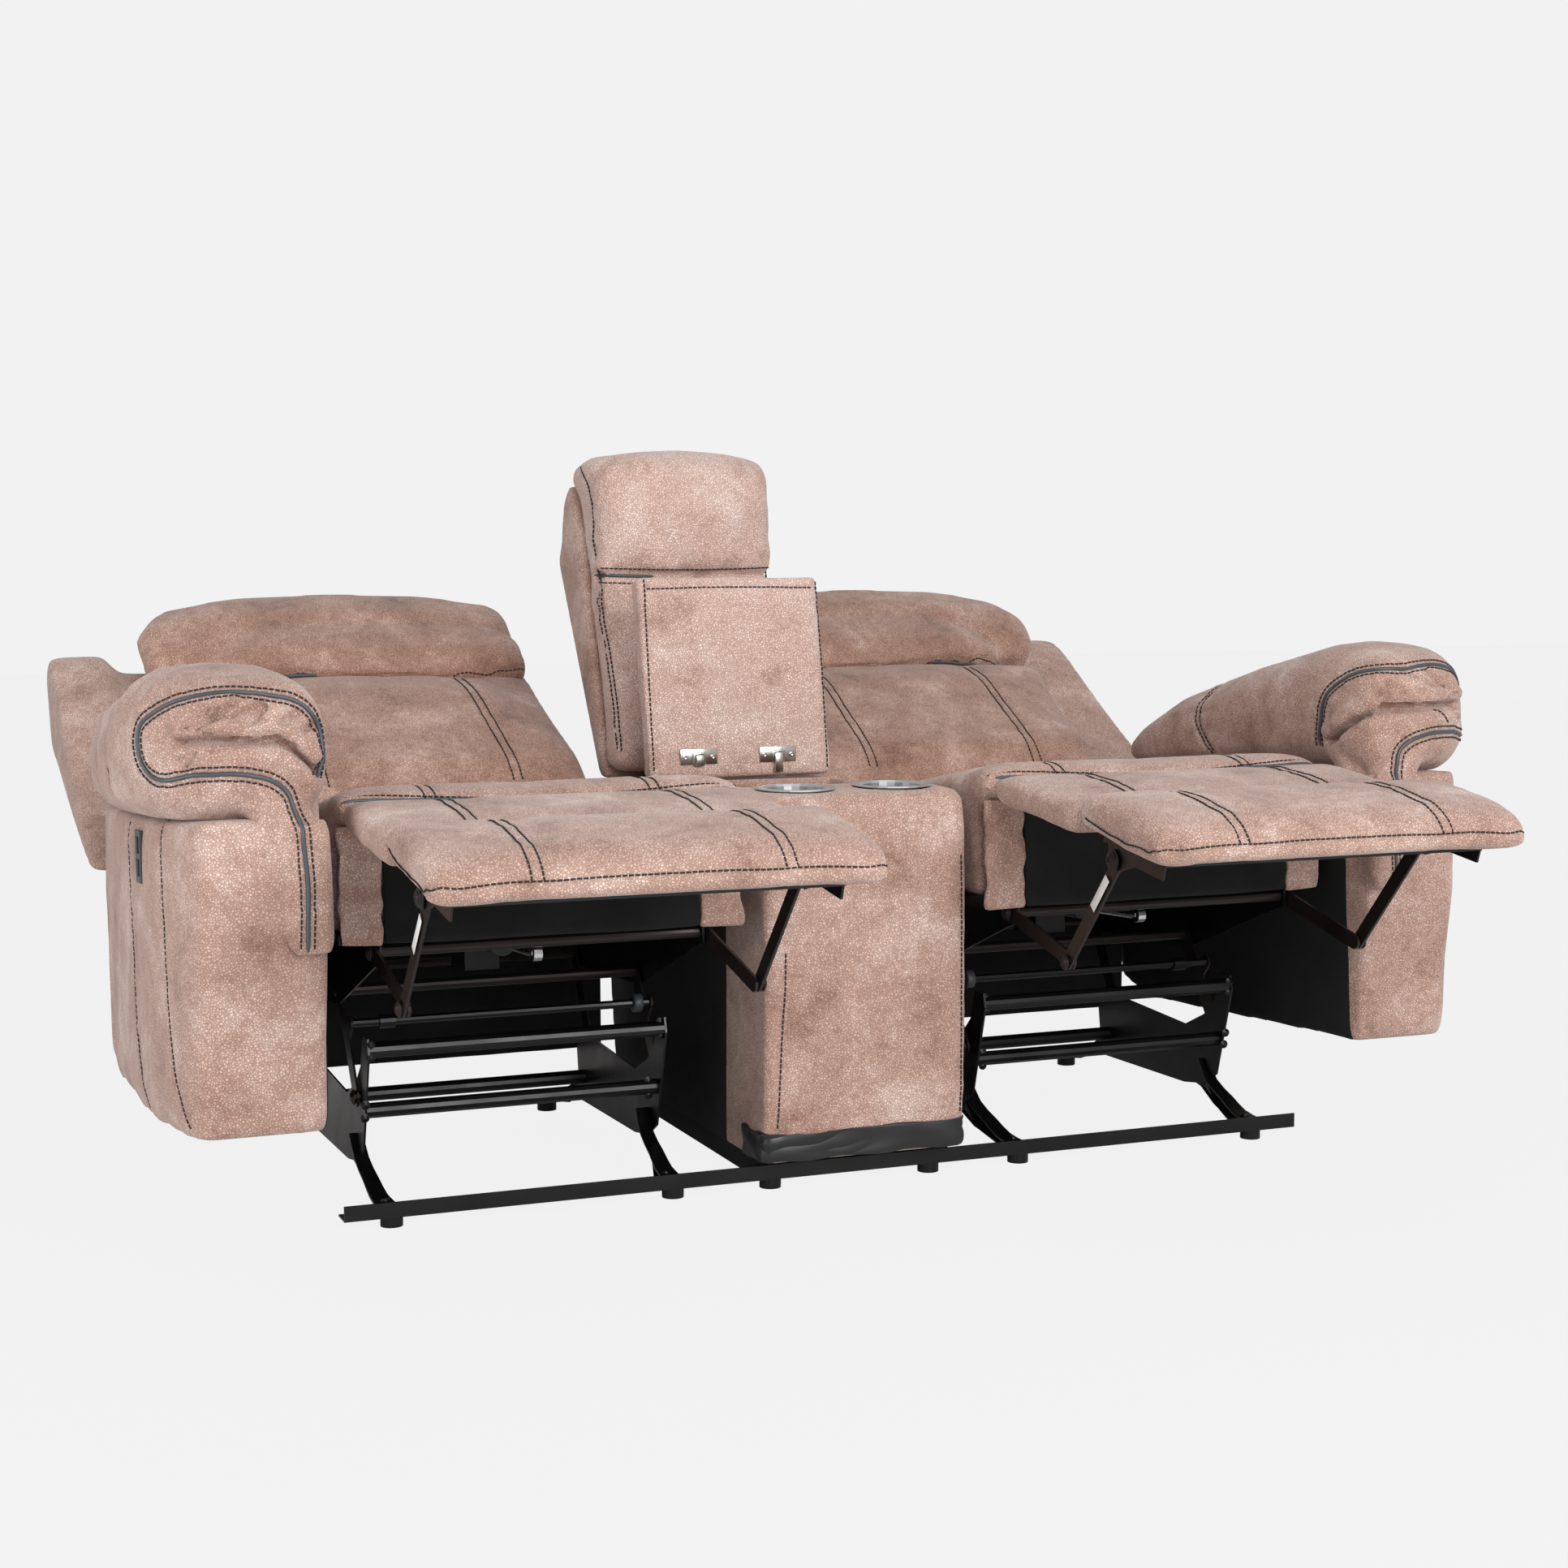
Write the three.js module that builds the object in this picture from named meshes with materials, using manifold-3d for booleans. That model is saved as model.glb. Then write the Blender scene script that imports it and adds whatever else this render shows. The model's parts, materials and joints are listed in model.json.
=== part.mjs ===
import * as THREE from 'three';
import { mergeVertices } from 'three/addons/utils/BufferGeometryUtils.js';
import Module from 'manifold-3d';

const wasm = await Module();
wasm.setup();

// Driving dimensions, in millimetres.
const gap = 0.4;
const round_sides = 16;
const pin_sides = 10;

const seat_centre_x = 468;
const seat_pad_width = 578;
const seat_pad_offset = 1;

const rail_overhang = 272;
const rail_length = 2 * (seat_centre_x + rail_overhang);
const rail_height = 21.4;
const rail_depth = 37;
const rail_thickness = 2.5;
const glide_height = 14.7;
const glide_diameter = 31;
const glide_x_shares = [0.0838, 0.1831, 0.4541];
const glide_y = 18;

const console_half_width = 155;
const console_wall = 14;
const plinth_half_width = 150;
const plinth_front_y = 6;
const plinth_rear_y = 540;
const plinth_bottom_z = 17.6;
const plinth_top_z = 45.6;
const store_front_y = 126;
const store_rear_y = 424;
const store_floor_z = 300;
const cup_x = 75;
const cup_y = 41;
const cup_rim_diameter = 114;
const cup_body_diameter = 92;
const cup_depth = 72;
const cup_wall = 1.6;
const cup_rim_lift = 3;
const console_top_z = 565;
const console_rear_y = 710;
const console_profile_shares = [
  [-0.0535, 0.0814], [-0.0634, 0.2301], [-0.0662, 0.531], [-0.0648, 0.8142], [-0.0592, 0.9381],
  [-0.0465, 0.9841], [-0.0254, 1], [0.1577, 1], [0.1577, 0.9646], [0.6113, 0.9646], [0.6141, 0.9547],
  [0.7183, 0.9547], [0.7183, 0.9345], [1, 0.9345], [0.9718, 0.7788], [0.8732, 0.0814],
];

const lid_width = 312;
const lid_length = 324;
const lid_thickness = 42;
const lid_round = 9;
const lid_hinge_y = 441;
const lid_hinge_z = 546;
const lid_open_deg = 101;
const hinge_x = 66;
const hinge_plate_width = 64;
const hinge_plate_length = 26;
const hinge_plate_thickness = 2.5;
const hinge_plate_inset = 20;
const hinge_arm_width = 14;
const hinge_arm_length = 34;
const hinge_arm_depth = 9;

const middle_back_half_width = 158;
const back_pivot_closed_y = 640;
const back_pivot_closed_z = 330;
const back_recline_deg = 49.8;

const seat_origin_y = -105;
const seat_origin_z = 160;
const seat_tilt_deg = 3.3;
const seat_pad_inner_x = seat_centre_x - seat_pad_width / 2 - seat_pad_offset;
const seat_pad_outer_x = seat_pad_inner_x + seat_pad_width;
const seat_pad_rear_y = 634;
const seat_pad_top_z = 448;
const back_height = 728;
const back_depth = 282;
const chaise_length = 230;
const chaise_thickness = 38;
const foot_pad_length = 184;
const foot_pad_height = 84;

const arm_clearance = 20.8;
const arm_inner_x = seat_pad_outer_x + arm_clearance;
const arm_width = 200;
const arm_length = 771;
const arm_height = 408.5;
const pillow_top_z = 605;

const swing_front_base_y = 150;
const swing_front_base_z = 150;
const swing_rear_base_y = 470;
const swing_rear_base_z = 137;
const swing_front_top_y = 247;
const swing_front_top_z = 283.5;
const swing_rear_top_y = 546.5;
const swing_rear_top_z = 266.2;

const lower_pivot_y = 72.2;
const lower_pivot_z = 224.5;
const lower_link_length = 193.1;
const upper_link_length = 211.7;
const lower_link_open_deg = -16.4;
const upper_link_open_deg = 45.07;
const board_open_deg = -9.2;
const chaise_open_deg = -9.3;
const chaise_hinge_y = 8;
const chaise_hinge_z = 405;
const back_pivot_y = 668;
const back_pivot_z = 281;

const plate_thickness = 3;
const base_plate_offset = 213;
const base_plate_rear_y = 515;
const base_plate_top_z = 240;
const seat_plate_rear_y = 692;
const seat_plate_top_z = 298;
const back_bracket_height = 140;
const swing_link_offset = 218.5;
const seat_plate_offset = 223.5;
const lower_link_offset = 230;
const upper_link_offset = 236;
const bracket_offset = 242;
const arm_mount_ys = [120, 500];
const arm_mount_width = 44;
const strap_thickness = 4;
const link_radius = 11;
const swing_radius = 14;
const pin_radius = 8;
const head_radius = 8.5;
const head_height = 1.5;
const cross_tube_radius = 11;
const shaft_radius = 8;
const drive_tube_radius = 6;
const collar_radius = 10;
const collar_length = 22;

const deck_bottom_z = 236.2;
const deck_top_z = 249.6;
const deck_front_y = 57.5;
const deck_rear_y = 600;
const deck_inset = 8;
const front_panel_y = 46;
const front_panel_thickness = 11;
const front_panel_bottom_z = 232;
const front_panel_top_z = 390;

const apron_front_y = 601.1;
const apron_thickness = 2;
const apron_bottom_z = 100;
const apron_top_z = 386;

const motor_radius = 20;
const motor_front_y = 275;
const motor_rear_y = 440;
const motor_z = 205;
const motor_bore_radius = 7.6;
const motor_bore_rear_y = 432;
const gearbox_width = 52;
const gearbox_drop = 30;
const gearbox_length = 52;
const rod_radius = 7;
const rod_front_y = 105;
const rod_rear_y = 325;
const rod_eye_radius = 11;
const rod_eye_width = 12;

const switch_y = 211;
const switch_z = 355;
const switch_width = 42;
const switch_height = 70;
const switch_thickness = 3;
const button_width = 17;
const button_height = 22;
const button_pitch = 30;
const button_proud = 1.6;
const button_thickness = 2.6;
const button_clearance = 0.35;

const channel_depth = 7;
const channel_width = 14;
const channel_shares = [0.27, 0.73];

// Side outlines in shares of the piece's depth and height, then crown and widening in shares of depth.
const base_plate_shares = [
  [0.1786, 0.9125], [0.1903, 1], [0.2447, 1], [0.2718, 0.8125], [0.334, 0.6917], [0.4466, 0.5833],
  [0.8544, 0.625], [0.9126, 0.6542], [0.9709, 0.625], [1, 0.5], [0.9806, 0.25], [0.9709, 0.1667],
  [0.4466, 0.1875], [0.332, 0.225], [0.2583, 0.3167],
];
const seat_plate_shares = [
  [0.0838, 0.7987], [0.0838, 0.7047], [0.1373, 0.6711], [0.4624, 0.4295], [0.5275, 0.4161],
  [0.9032, 0.4161], [0.961, 0.4362], [1, 0.906], [0.9899, 1], [0.9335, 1], [0.8988, 0.8255],
  [0.8526, 0.7987],
];
const seat_pad_shares = [
  [0.0915, 0.5585, 0], [0.0915, 0.8795, 0], [0.071, 0.8906, 0], [0.0418, 0.9062, 0], [0.0457, 0.9509, 0],
  [0.0978, 0.9911, 0.0189], [0.205, 1, 0.0284], [0.4732, 0.9777, 0.0315], [0.7571, 0.9375, 0.0252],
  [0.8833, 0.8884, 0.0095], [0.9621, 0.8438, 0], [1, 0.808, 0], [1, 0.7143, 0], [0.9306, 0.5585, 0],
  [0.4732, 0.5585, 0],
];
const chaise_shares = [
  [-0.0783, 0, 0], [-0.0543, 0.3289, 0], [0, 0.4737, 0], [0.2174, 0.5263, 0.0435],
  [0.5217, 0.5263, 0.0522], [0.8261, 0.4737, 0.0261], [0.9652, 0.3684, 0.0087], [1, 0, 0],
  [0.9652, -0.3947, 0], [0.5217, -0.4737, 0], [0, -0.4737, 0], [-0.0543, -0.3289, 0],
];
const foot_pad_shares = [
  [-0.2228, 0.5, 0], [-0.2337, 0.7381, 0], [-0.2065, 0.9286, 0.0109], [-0.1087, 1, 0.0435],
  [0.2717, 0.9881, 0.0652], [0.6522, 0.9405, 0.0543], [0.8696, 0.8333, 0.0326], [0.9728, 0.6667, 0.0163],
  [1, 0.5476, 0.0054], [0.9891, 0.4048, 0], [0.9457, 0.3631, 0], [0.3804, 0.3631, 0],
];
const board_shares = [[-0.1848, 0.3571], [0.7065, 0.3571], [0.7065, 0.2143], [-0.1848, 0.2143]];
const bracket_shares = [
  [-0.1087, 0.1429], [-0.0761, -0.1429], [0.0543, -0.1667], [0.2717, 0.0238], [0.6739, 0],
  [0.6957, 0.2143], [0.6522, 0.2381], [-0.1087, 0.2381],
];
const middle_frame_shares = [
  [0.0982, 0.2729], [0.0982, 0.2885], [0.2862, 0.5082], [0.4706, 0.7143], [0.4777, 0.728],
  [0.5486, 0.8104], [0.6479, 0.8929], [0.7801, 0.9396], [0.8865, 0.8929], [0.922, 0.8104], [1, 0.7596],
  [0.2057, 0.2729],
];
const middle_cushion_shares = [
  [-0.1631, 0.3077, 0.0532], [0.0284, 0.4945, 0.195], [0.1702, 0.6593, 0.1418], [0.2128, 0.7033, 0.0177],
  [0.2837, 0.7143, 0], [0.4681, 0.7143, 0], [0.2837, 0.5082, 0], [0.0957, 0.2885, 0],
  [-0.0355, 0.2857, 0],
];
const headrest_shares = [
  [0.227, 0.728, 0], [0.1844, 0.7665, 0.078], [0.2128, 0.8791, 0.1064], [0.2766, 0.9615, 0.0709],
  [0.3723, 0.9918, 0.0709], [0.5674, 1, 0.0496], [0.7092, 0.9835, 0.0248], [0.766, 0.9547, 0],
  [0.6454, 0.8929, 0], [0.5461, 0.8104, 0], [0.4752, 0.728, 0],
];
const side_frame_shares = [
  [-0.0355, 0.103], [0.0025, 0.1786], [0.0947, 0.283], [0.2862, 0.5082], [0.4706, 0.7143],
  [0.4706, 0.728], [0.5344, 0.8104], [0.6195, 0.8929], [0.7801, 0.9368], [0.8865, 0.8929],
  [0.922, 0.8104], [1, 0.7596], [0.3369, 0.2198], [0.2128, 0.0907],
];
const side_cushion_shares = [
  [-0.2199, 0.1648, 0.0177, 0], [-0.1844, 0.2747, 0.0887, 0.0071], [0.0213, 0.4808, 0.195, 0.0709],
  [0.1773, 0.6662, 0.1418, 0.1773], [0.2128, 0.7033, 0.0177, 0.1986], [0.2837, 0.7143, 0, 0.1986],
  [0.4681, 0.7143, 0, 0.1986], [0.2837, 0.5082, 0, 0.0709], [0.0922, 0.283, 0, 0.0071],
  [0, 0.1786, 0, 0], [-0.0383, 0.1099, 0, 0], [-0.0993, 0.1099, 0, 0],
];
const side_headrest_shares = [
  [0.227, 0.728, 0, 0.2128], [0.1844, 0.7665, 0.078, 0.2837], [0.2128, 0.8791, 0.1064, 0.305],
  [0.2766, 0.956, 0.0993, 0.2128], [0.3723, 0.9863, 0.0922, 0.1418], [0.5674, 0.9945, 0.0709, 0.1277],
  [0.7092, 0.978, 0.0355, 0.1418], [0.7589, 0.9547, 0, 0.1773], [0.617, 0.8929, 0, 0.2482],
  [0.5319, 0.8104, 0, 0.2482], [0.4681, 0.728, 0, 0.2128],
];
const wing_shares = [
  [0.2358, 0.1422], [0.4326, 0.4945], [0.5142, 0.728], [0.5816, 0.8929], [0.6454, 0.9505],
  [0.7447, 0.9753], [0.8794, 0.9396], [0.9504, 0.8379], [1, 0.7596], [0.656, 0.467], [0.3723, 0.206],
  [0.2908, 0.1429],
];
const wing_inner_shares = [
  [0.2358, 0.1422], [0.4326, 0.4945], [0.5426, 0.728], [0.6277, 0.8736], [0.7305, 0.9176], [0.7943, 0.9286],
  [0.9078, 0.8874], [0.9326, 0.8104], [1, 0.7596], [0.656, 0.467], [0.3723, 0.206], [0.2908, 0.1429],
];
const wing_outer_x = arm_inner_x + arm_width * 0.99;
const wing_round = 16;
const wing_step_share = 0.42;
const back_bracket_shares = [
  [-0.1286, -0.1143], [0.1143, -0.1286], [0.2143, 0.2143], [0.3571, 0.8571], [0.1429, 1], [-0.0357, 0.5],
  [-0.1571, 0.0714],
];
const back_bracket_offset = 228;

// The arm: levels by height, front and rear edges by length, and its outer side along the length by width.
const arm_levels_shares = [0.0049, 0.0808, 0.2938, 0.563, 0.7001, 0.8568, 1];
const arm_front_shares = [0, -0.0052, -0.0208, -0.0506, -0.0545, -0.0571, -0.0597];
const arm_rear_shares = [0.8171, 0.93, 0.9598, 0.9857, 1, 0.9533, 0.9079];
const arm_outer_shares = [
  [-0.1297, 0.826], [0, 0.851], [0.0778, 0.926], [0.1816, 0.981], [0.3113, 1.001], [0.8171, 0.946],
  [1.0376, 0.866],
];
const arm_station_shares = [0, 0.012, 0.04, 0.12, 0.24, 0.4, 0.7, 0.96, 0.988, 1];
const arm_round = 22;
const pillow_stations_shares = [
  [-0.0649, 0.7438, 0.8926, 0.116, 0.591], [-0.0571, 0.7041, 0.9421, 0.026, 0.766],
  [-0.0259, 0.6826, 0.9686, -0.014, 0.916], [0.013, 0.6777, 0.9818, -0.034, 1.046],
  [0.0519, 0.676, 0.9901, -0.039, 1.136], [0.1492, 0.676, 1, -0.039, 1.226],
  [0.4215, 0.676, 0.9455, -0.039, 1.246], [0.6887, 0.676, 0.8694, -0.034, 1.126],
  [0.8327, 0.676, 0.7934, -0.024, 1.041], [0.8846, 0.6777, 0.7537, 0.016, 0.986],
  [0.9014, 0.681, 0.7339, 0.091, 0.916],
];
const pillow_power_share = 0.7;
const pillow_flat_share = 0.55;
const band_width = 55.2;
const band_thickness = 22;
const band_levels_shares = [0.5728, 0.5924, 0.7099, 0.8568, 0.9743, 0.9914];
const band_inset_shares = [0.5, 0, 0, 0, 0, 0.5];
const strap_width = 28;
const front_foot_offsets = [197, 204];
const rear_foot_offsets = [194, 208];
const rear_foot_y = 620;
const foot_plate_z = 14.7;
const lower_tube_y = 134;
const lower_tube_z = 133;
const upper_tube_y = 105;
const upper_tube_z = 223;
const rear_tube_y = 480;
const rear_tube_z = 80;
const drive_tube_y = 180;
const drive_tube_z = 248;

// Colours taken by eye from the photo.
const brown = { color: 0x9d7b6c, roughness: 0.72, metalness: 0 };
const black_cloth = { color: 0x151515, roughness: 0.95, metalness: 0 };
const black_steel = { color: 0x101012, roughness: 0.38, metalness: 0.6 };
const link_steel = { color: 0x2b2522, roughness: 0.45, metalness: 0.7 };
const bright_steel = { color: 0xb9bcc0, roughness: 0.28, metalness: 1 };
const grey_plastic = { color: 0x3a3f45, roughness: 0.5, metalness: 0 };
const black_plastic = { color: 0x0e0e0f, roughness: 0.55, metalness: 0 };

const rad = (deg) => (deg * Math.PI) / 180;
const sized = (shares, depth, height) => shares.map(([y, z, crown = 0, widen = 0]) => [
  y * depth, z * height, crown * depth, widen * depth,
]);
const lerp = THREE.MathUtils.lerp;

function along(table, at) {
  for (let i = 1; i < table.length; i += 1) {
    const [x0, v0] = table[i - 1];
    const [x1, v1] = table[i];
    if (at <= x1) return lerp(v0, v1, Math.max(0, (at - x0) / (x1 - x0)));
  }
  return table[table.length - 1][1];
}

const arm_side = (share) => arm_inner_x + share * arm_width;
const arm_outer_at = (y) => arm_side(along(arm_outer_shares, y / arm_length));
const switch_face_x = arm_outer_at(switch_y) + gap * 1.5;

function facing_out(geometry) {
  const pos = geometry.attributes.position;
  const idx = geometry.index.array;
  const a = new THREE.Vector3();
  const b = new THREE.Vector3();
  const c = new THREE.Vector3();
  let six_volumes = 0;
  for (let i = 0; i < idx.length; i += 3) {
    a.fromBufferAttribute(pos, idx[i]);
    b.fromBufferAttribute(pos, idx[i + 1]);
    c.fromBufferAttribute(pos, idx[i + 2]);
    six_volumes += a.dot(b.cross(c));
  }
  if (six_volumes < 0) {
    for (let i = 0; i < idx.length; i += 3) [idx[i], idx[i + 1]] = [idx[i + 1], idx[i]];
  }
  return geometry;
}

// Closed skin through loops of equal count, capped at both ends. Paired loops run up one side and down
// the other, and their caps are strips between the two sides.
function loft(loops, paired = false) {
  const count = loops[0].length;
  const points = loops.flat();
  const index = [];
  for (let s = 0; s + 1 < loops.length; s += 1) {
    for (let i = 0; i < count; i += 1) {
      const j = (i + 1) % count;
      const a = s * count + i;
      const b = s * count + j;
      index.push(a, b, b + count, a, b + count, a + count);
    }
  }
  const flat = (loop) => {
    const size = new THREE.Box3().setFromPoints(loop).getSize(new THREE.Vector3());
    const drop = ['x', 'y', 'z'].sort((p, q) => size[p] - size[q])[0];
    const keep = ['x', 'y', 'z'].filter((k) => k !== drop);
    return loop.map((p) => new THREE.Vector2(p[keep[0]], p[keep[1]]));
  };
  const strips = [];
  for (let k = 0; paired && k + 1 < count / 2; k += 1) {
    const [a, b, c, d] = [k, k + 1, count - 2 - k, count - 1 - k];
    strips.push([a, b, c], [a, c, d]);
  }
  [0, loops.length - 1].forEach((s) => {
    const tris = paired ? strips : THREE.ShapeUtils.triangulateShape(flat(loops[s]), []);
    // The cap must run against the side skin, whose own turn is found from its first edge.
    tris.forEach(([p, q, r]) => {
      const turn = (q - p + count) % count < (r - p + count) % count;
      const same = s === 0 ? turn : !turn;
      const t = same ? [p, r, q] : [p, q, r];
      index.push(...t.map((k) => s * count + k));
    });
  });
  const geometry = new THREE.BufferGeometry();
  const array = new Float32Array(points.flatMap((p) => [p.x, p.y, p.z]));
  geometry.setAttribute('position', new THREE.BufferAttribute(array, 3));
  geometry.setIndex(index);
  return facing_out(geometry);
}

function body_of(geometry) {
  const bare = geometry.clone();
  Object.keys(bare.attributes).forEach((k) => { if (k !== 'position') bare.deleteAttribute(k); });
  const merged = facing_out(mergeVertices(bare, 1e-3));
  const mesh = new wasm.Mesh({
    numProp: 3,
    vertProperties: new Float32Array(merged.attributes.position.array),
    triVerts: new Uint32Array(merged.index.array),
  });
  return new wasm.Manifold(mesh);
}

function geometry_of(body) {
  const mesh = body.getMesh();
  const geometry = new THREE.BufferGeometry();
  const array = new Float32Array(mesh.vertProperties);
  geometry.setAttribute('position', new THREE.BufferAttribute(array, mesh.numProp));
  geometry.setIndex([...mesh.triVerts]);
  return mergeVertices(geometry, 1e-3);
}

const joined = (list) => geometry_of(list.map(body_of).reduce((a, b) => a.add(b)));
const cut = (solid, list) => geometry_of(list.map(body_of).reduce((a, b) => a.subtract(b), body_of(solid)));

// A YZ outline pushed from x0 to x1.
function plate(outline, x0, x1) {
  return loft([x0, x1].map((x) => outline.map(([y, z]) => new THREE.Vector3(x, y, z))));
}

function box(x0, x1, y0, y1, z0, z1) {
  return plate([[y0, z0], [y1, z0], [y1, z1], [y0, z1]], x0, x1);
}

// A round bar along X, Y or Z between two ends.
function bar(axis, centre, from, to, radius, sides = round_sides) {
  const loops = [from, to].map((at) => {
    const loop = [];
    for (let i = 0; i < sides; i += 1) {
      const turn = (2 * Math.PI * i) / sides;
      const u = radius * Math.cos(turn);
      const v = radius * Math.sin(turn);
      if (axis === 'x') loop.push(new THREE.Vector3(at, centre[0] + u, centre[1] + v));
      if (axis === 'y') loop.push(new THREE.Vector3(centre[0] + u, at, centre[1] + v));
      if (axis === 'z') loop.push(new THREE.Vector3(centre[0] + u, centre[1] + v, at));
    }
    return loop;
  });
  return loft(loops);
}

// A link outline with round ends between two pivots in the YZ plane.
function link_outline(from, to, radius, sides = 7) {
  const turn = Math.atan2(to[1] - from[1], to[0] - from[0]);
  const out = [];
  for (let i = 0; i < sides; i += 1) {
    const a = turn - Math.PI / 2 + (Math.PI * i) / (sides - 1);
    out.push([to[0] + radius * Math.cos(a), to[1] + radius * Math.sin(a)]);
  }
  for (let i = 0; i < sides; i += 1) {
    const a = turn + Math.PI / 2 + (Math.PI * i) / (sides - 1);
    out.push([from[0] + radius * Math.cos(a), from[1] + radius * Math.sin(a)]);
  }
  return out;
}

// Soft slab: a YZ outline carried along X, drawn in at both ends, crowned and sewn between.
function slab(outline, x0, x1, round, sewn) {
  const mid = outline.reduce((a, p) => [a[0] + p[0] / outline.length, a[1] + p[1] / outline.length], [0, 0]);
  const width = x1 - x0;
  const stations = [[0, round], [round * 0.3, round * 0.4], [round, 0]];
  const inner = [];
  if (sewn) {
    channel_shares.forEach((s) => {
      [-1, -0.35, 0.35, 1].forEach((k) => inner.push(s * width + k * channel_width));
    });
    inner.push(width / 2);
  } else {
    [0.25, 0.5, 0.75].forEach((s) => inner.push(s * width));
  }
  inner.sort((a, b) => a - b).forEach((x) => stations.push([x, 0]));
  stations.push([width - round, 0], [width - round * 0.3, round * 0.4], [width, round]);
  const loops = stations.map(([x, inset]) => {
    const share = x / width;
    let lift = 1 - Math.abs(2 * share - 1) ** 3;
    let sink = 0;
    if (sewn) {
      channel_shares.forEach((s) => {
        if (Math.abs(x - s * width) < channel_width / 2) sink = channel_depth;
      });
    }
    return outline.map(([y, z, crown, widen]) => {
      const dy = mid[0] - y;
      const dz = mid[1] - z;
      const reach = Math.hypot(dy, dz);
      const move = crown > 0 ? inset + Math.min(sink, crown) - crown * lift : inset;
      const px = x0 + share * (width + widen);
      return new THREE.Vector3(px, y + (dy / reach) * move, z + (dz / reach) * move);
    });
  });
  return loft(loops);
}

const group = new THREE.Group();
group.name = 'sofa';

function add(name, geometry, look, mirror) {
  let solid = geometry.clone();
  Object.keys(solid.attributes).forEach((k) => { if (k !== 'position') solid.deleteAttribute(k); });
  if (!solid.index) solid = mergeVertices(solid, 1e-3);
  if (mirror) solid.scale(-1, 1, 1);
  solid = facing_out(mergeVertices(solid, 1e-3));
  solid.computeVertexNormals();
  const mesh = new THREE.Mesh(solid, new THREE.MeshStandardMaterial(look));
  mesh.name = name;
  group.add(mesh);
}

function pivot(name, x, y, z) {
  const point = new THREE.Group();
  point.name = name;
  point.position.set(x, y, z);
  group.add(point);
}

// Front rail: an angle with its lip up, on six round glides.
function front_rail() {
  const lip = glide_height + rail_height;
  const angle = plate([
    [0, glide_height], [rail_depth, glide_height], [rail_depth, glide_height + rail_thickness],
    [rail_thickness, glide_height + rail_thickness], [rail_thickness, lip], [0, lip],
  ], -rail_length / 2, rail_length / 2);
  const parts = [angle];
  glide_x_shares.forEach((s) => {
    [-1, 1].forEach((side) => {
      const top = glide_height + rail_thickness / 2;
      parts.push(bar('z', [side * s * rail_length, glide_y], 0, top, glide_diameter / 2));
    });
  });
  return joined(parts);
}

function console_box() {
  const outline = sized(console_profile_shares, console_rear_y, console_top_z);
  const r = console_wall;
  const w = console_half_width;
  const loops = [
    [-w, r], [-w + r * 0.3, r * 0.35], [-w + r, 0], [w - r, 0], [w - r * 0.3, r * 0.35], [w, r],
  ];
  const front = store_front_y - console_wall;
  const solid = loft(loops.map(([x, inset]) => outline.map(([y, z]) => {
    const drawn = y < 0 ? inset / 2 : 0;
    const fall = z > console_top_z - gap && y < front ? inset / 2 : 0;
    return new THREE.Vector3(x, y + drawn, z - fall);
  })));
  const x = w - console_wall;
  const cups = [-1, 1].map((s) => bar('z', [s * cup_x, cup_y], console_top_z - cup_depth - gap * 4,
    console_top_z + r, cup_body_diameter / 2 + gap * 2, 20));
  return cut(solid, [box(-x, x, store_front_y, store_rear_y, store_floor_z, console_top_z + r), ...cups]);
}

function console_plinth() {
  const parts = [box(-plinth_half_width, plinth_half_width, plinth_front_y, plinth_rear_y, plinth_bottom_z,
    plinth_top_z)];
  [-1, 1].forEach((s) => parts.push(bar('z', [s * (plinth_half_width - glide_diameter),
    plinth_rear_y - glide_diameter], 0, plinth_bottom_z + rail_thickness, glide_diameter / 2)));
  return joined(parts);
}

// The lid is laid out closed and then swung open about its hinge line.
function opened(geometry) {
  geometry.translate(0, -lid_hinge_y, -lid_hinge_z);
  geometry.rotateX(-rad(lid_open_deg));
  geometry.translate(0, lid_hinge_y, lid_hinge_z);
  return geometry;
}

function console_lid() {
  const y0 = lid_hinge_y - lid_length;
  const z0 = lid_hinge_z + gap;
  const z1 = z0 + lid_thickness;
  const r = lid_round;
  const outline = [
    [y0, z0 + r * 0.4], [y0, z1 - r], [y0 + r * 0.3, z1 - r * 0.3], [y0 + r, z1], [lid_hinge_y - r, z1],
    [lid_hinge_y - r * 0.3, z1 - r * 0.3], [lid_hinge_y, z1 - r], [lid_hinge_y, z0 + r * 0.4],
    [lid_hinge_y - r * 0.4, z0], [y0 + r * 0.4, z0],
  ];
  const w = lid_width / 2;
  const stations = [
    [-w, r], [-w + r * 0.3, r * 0.3], [-w + r, 0], [w - r, 0], [w - r * 0.3, r * 0.3], [w, r],
  ];
  const mid = [lid_hinge_y - lid_length / 2, z0 + lid_thickness / 2];
  return opened(loft(stations.map(([x, inset]) => outline.map(([y, z]) => new THREE.Vector3(
    x, y + Math.sign(mid[0] - y) * inset * 0.5, z > mid[1] ? z - inset : z + inset * 0.3)))));
}

function lid_hinge(side) {
  const y1 = lid_hinge_y - hinge_plate_inset;
  const y0 = y1 - hinge_plate_length;
  const z1 = lid_hinge_z;
  const z0 = z1 - hinge_plate_thickness;
  const x = side * hinge_x;
  const w = hinge_plate_width / 2;
  const a = hinge_arm_width / 2;
  return opened(joined([
    box(x - w, x + w, y0, y1, z0, z1),
    box(x - a, x + a, y1 - hinge_arm_length, y1 - hinge_arm_width / 2, z0 - hinge_arm_depth, z0 + gap),
  ]));
}

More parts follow.
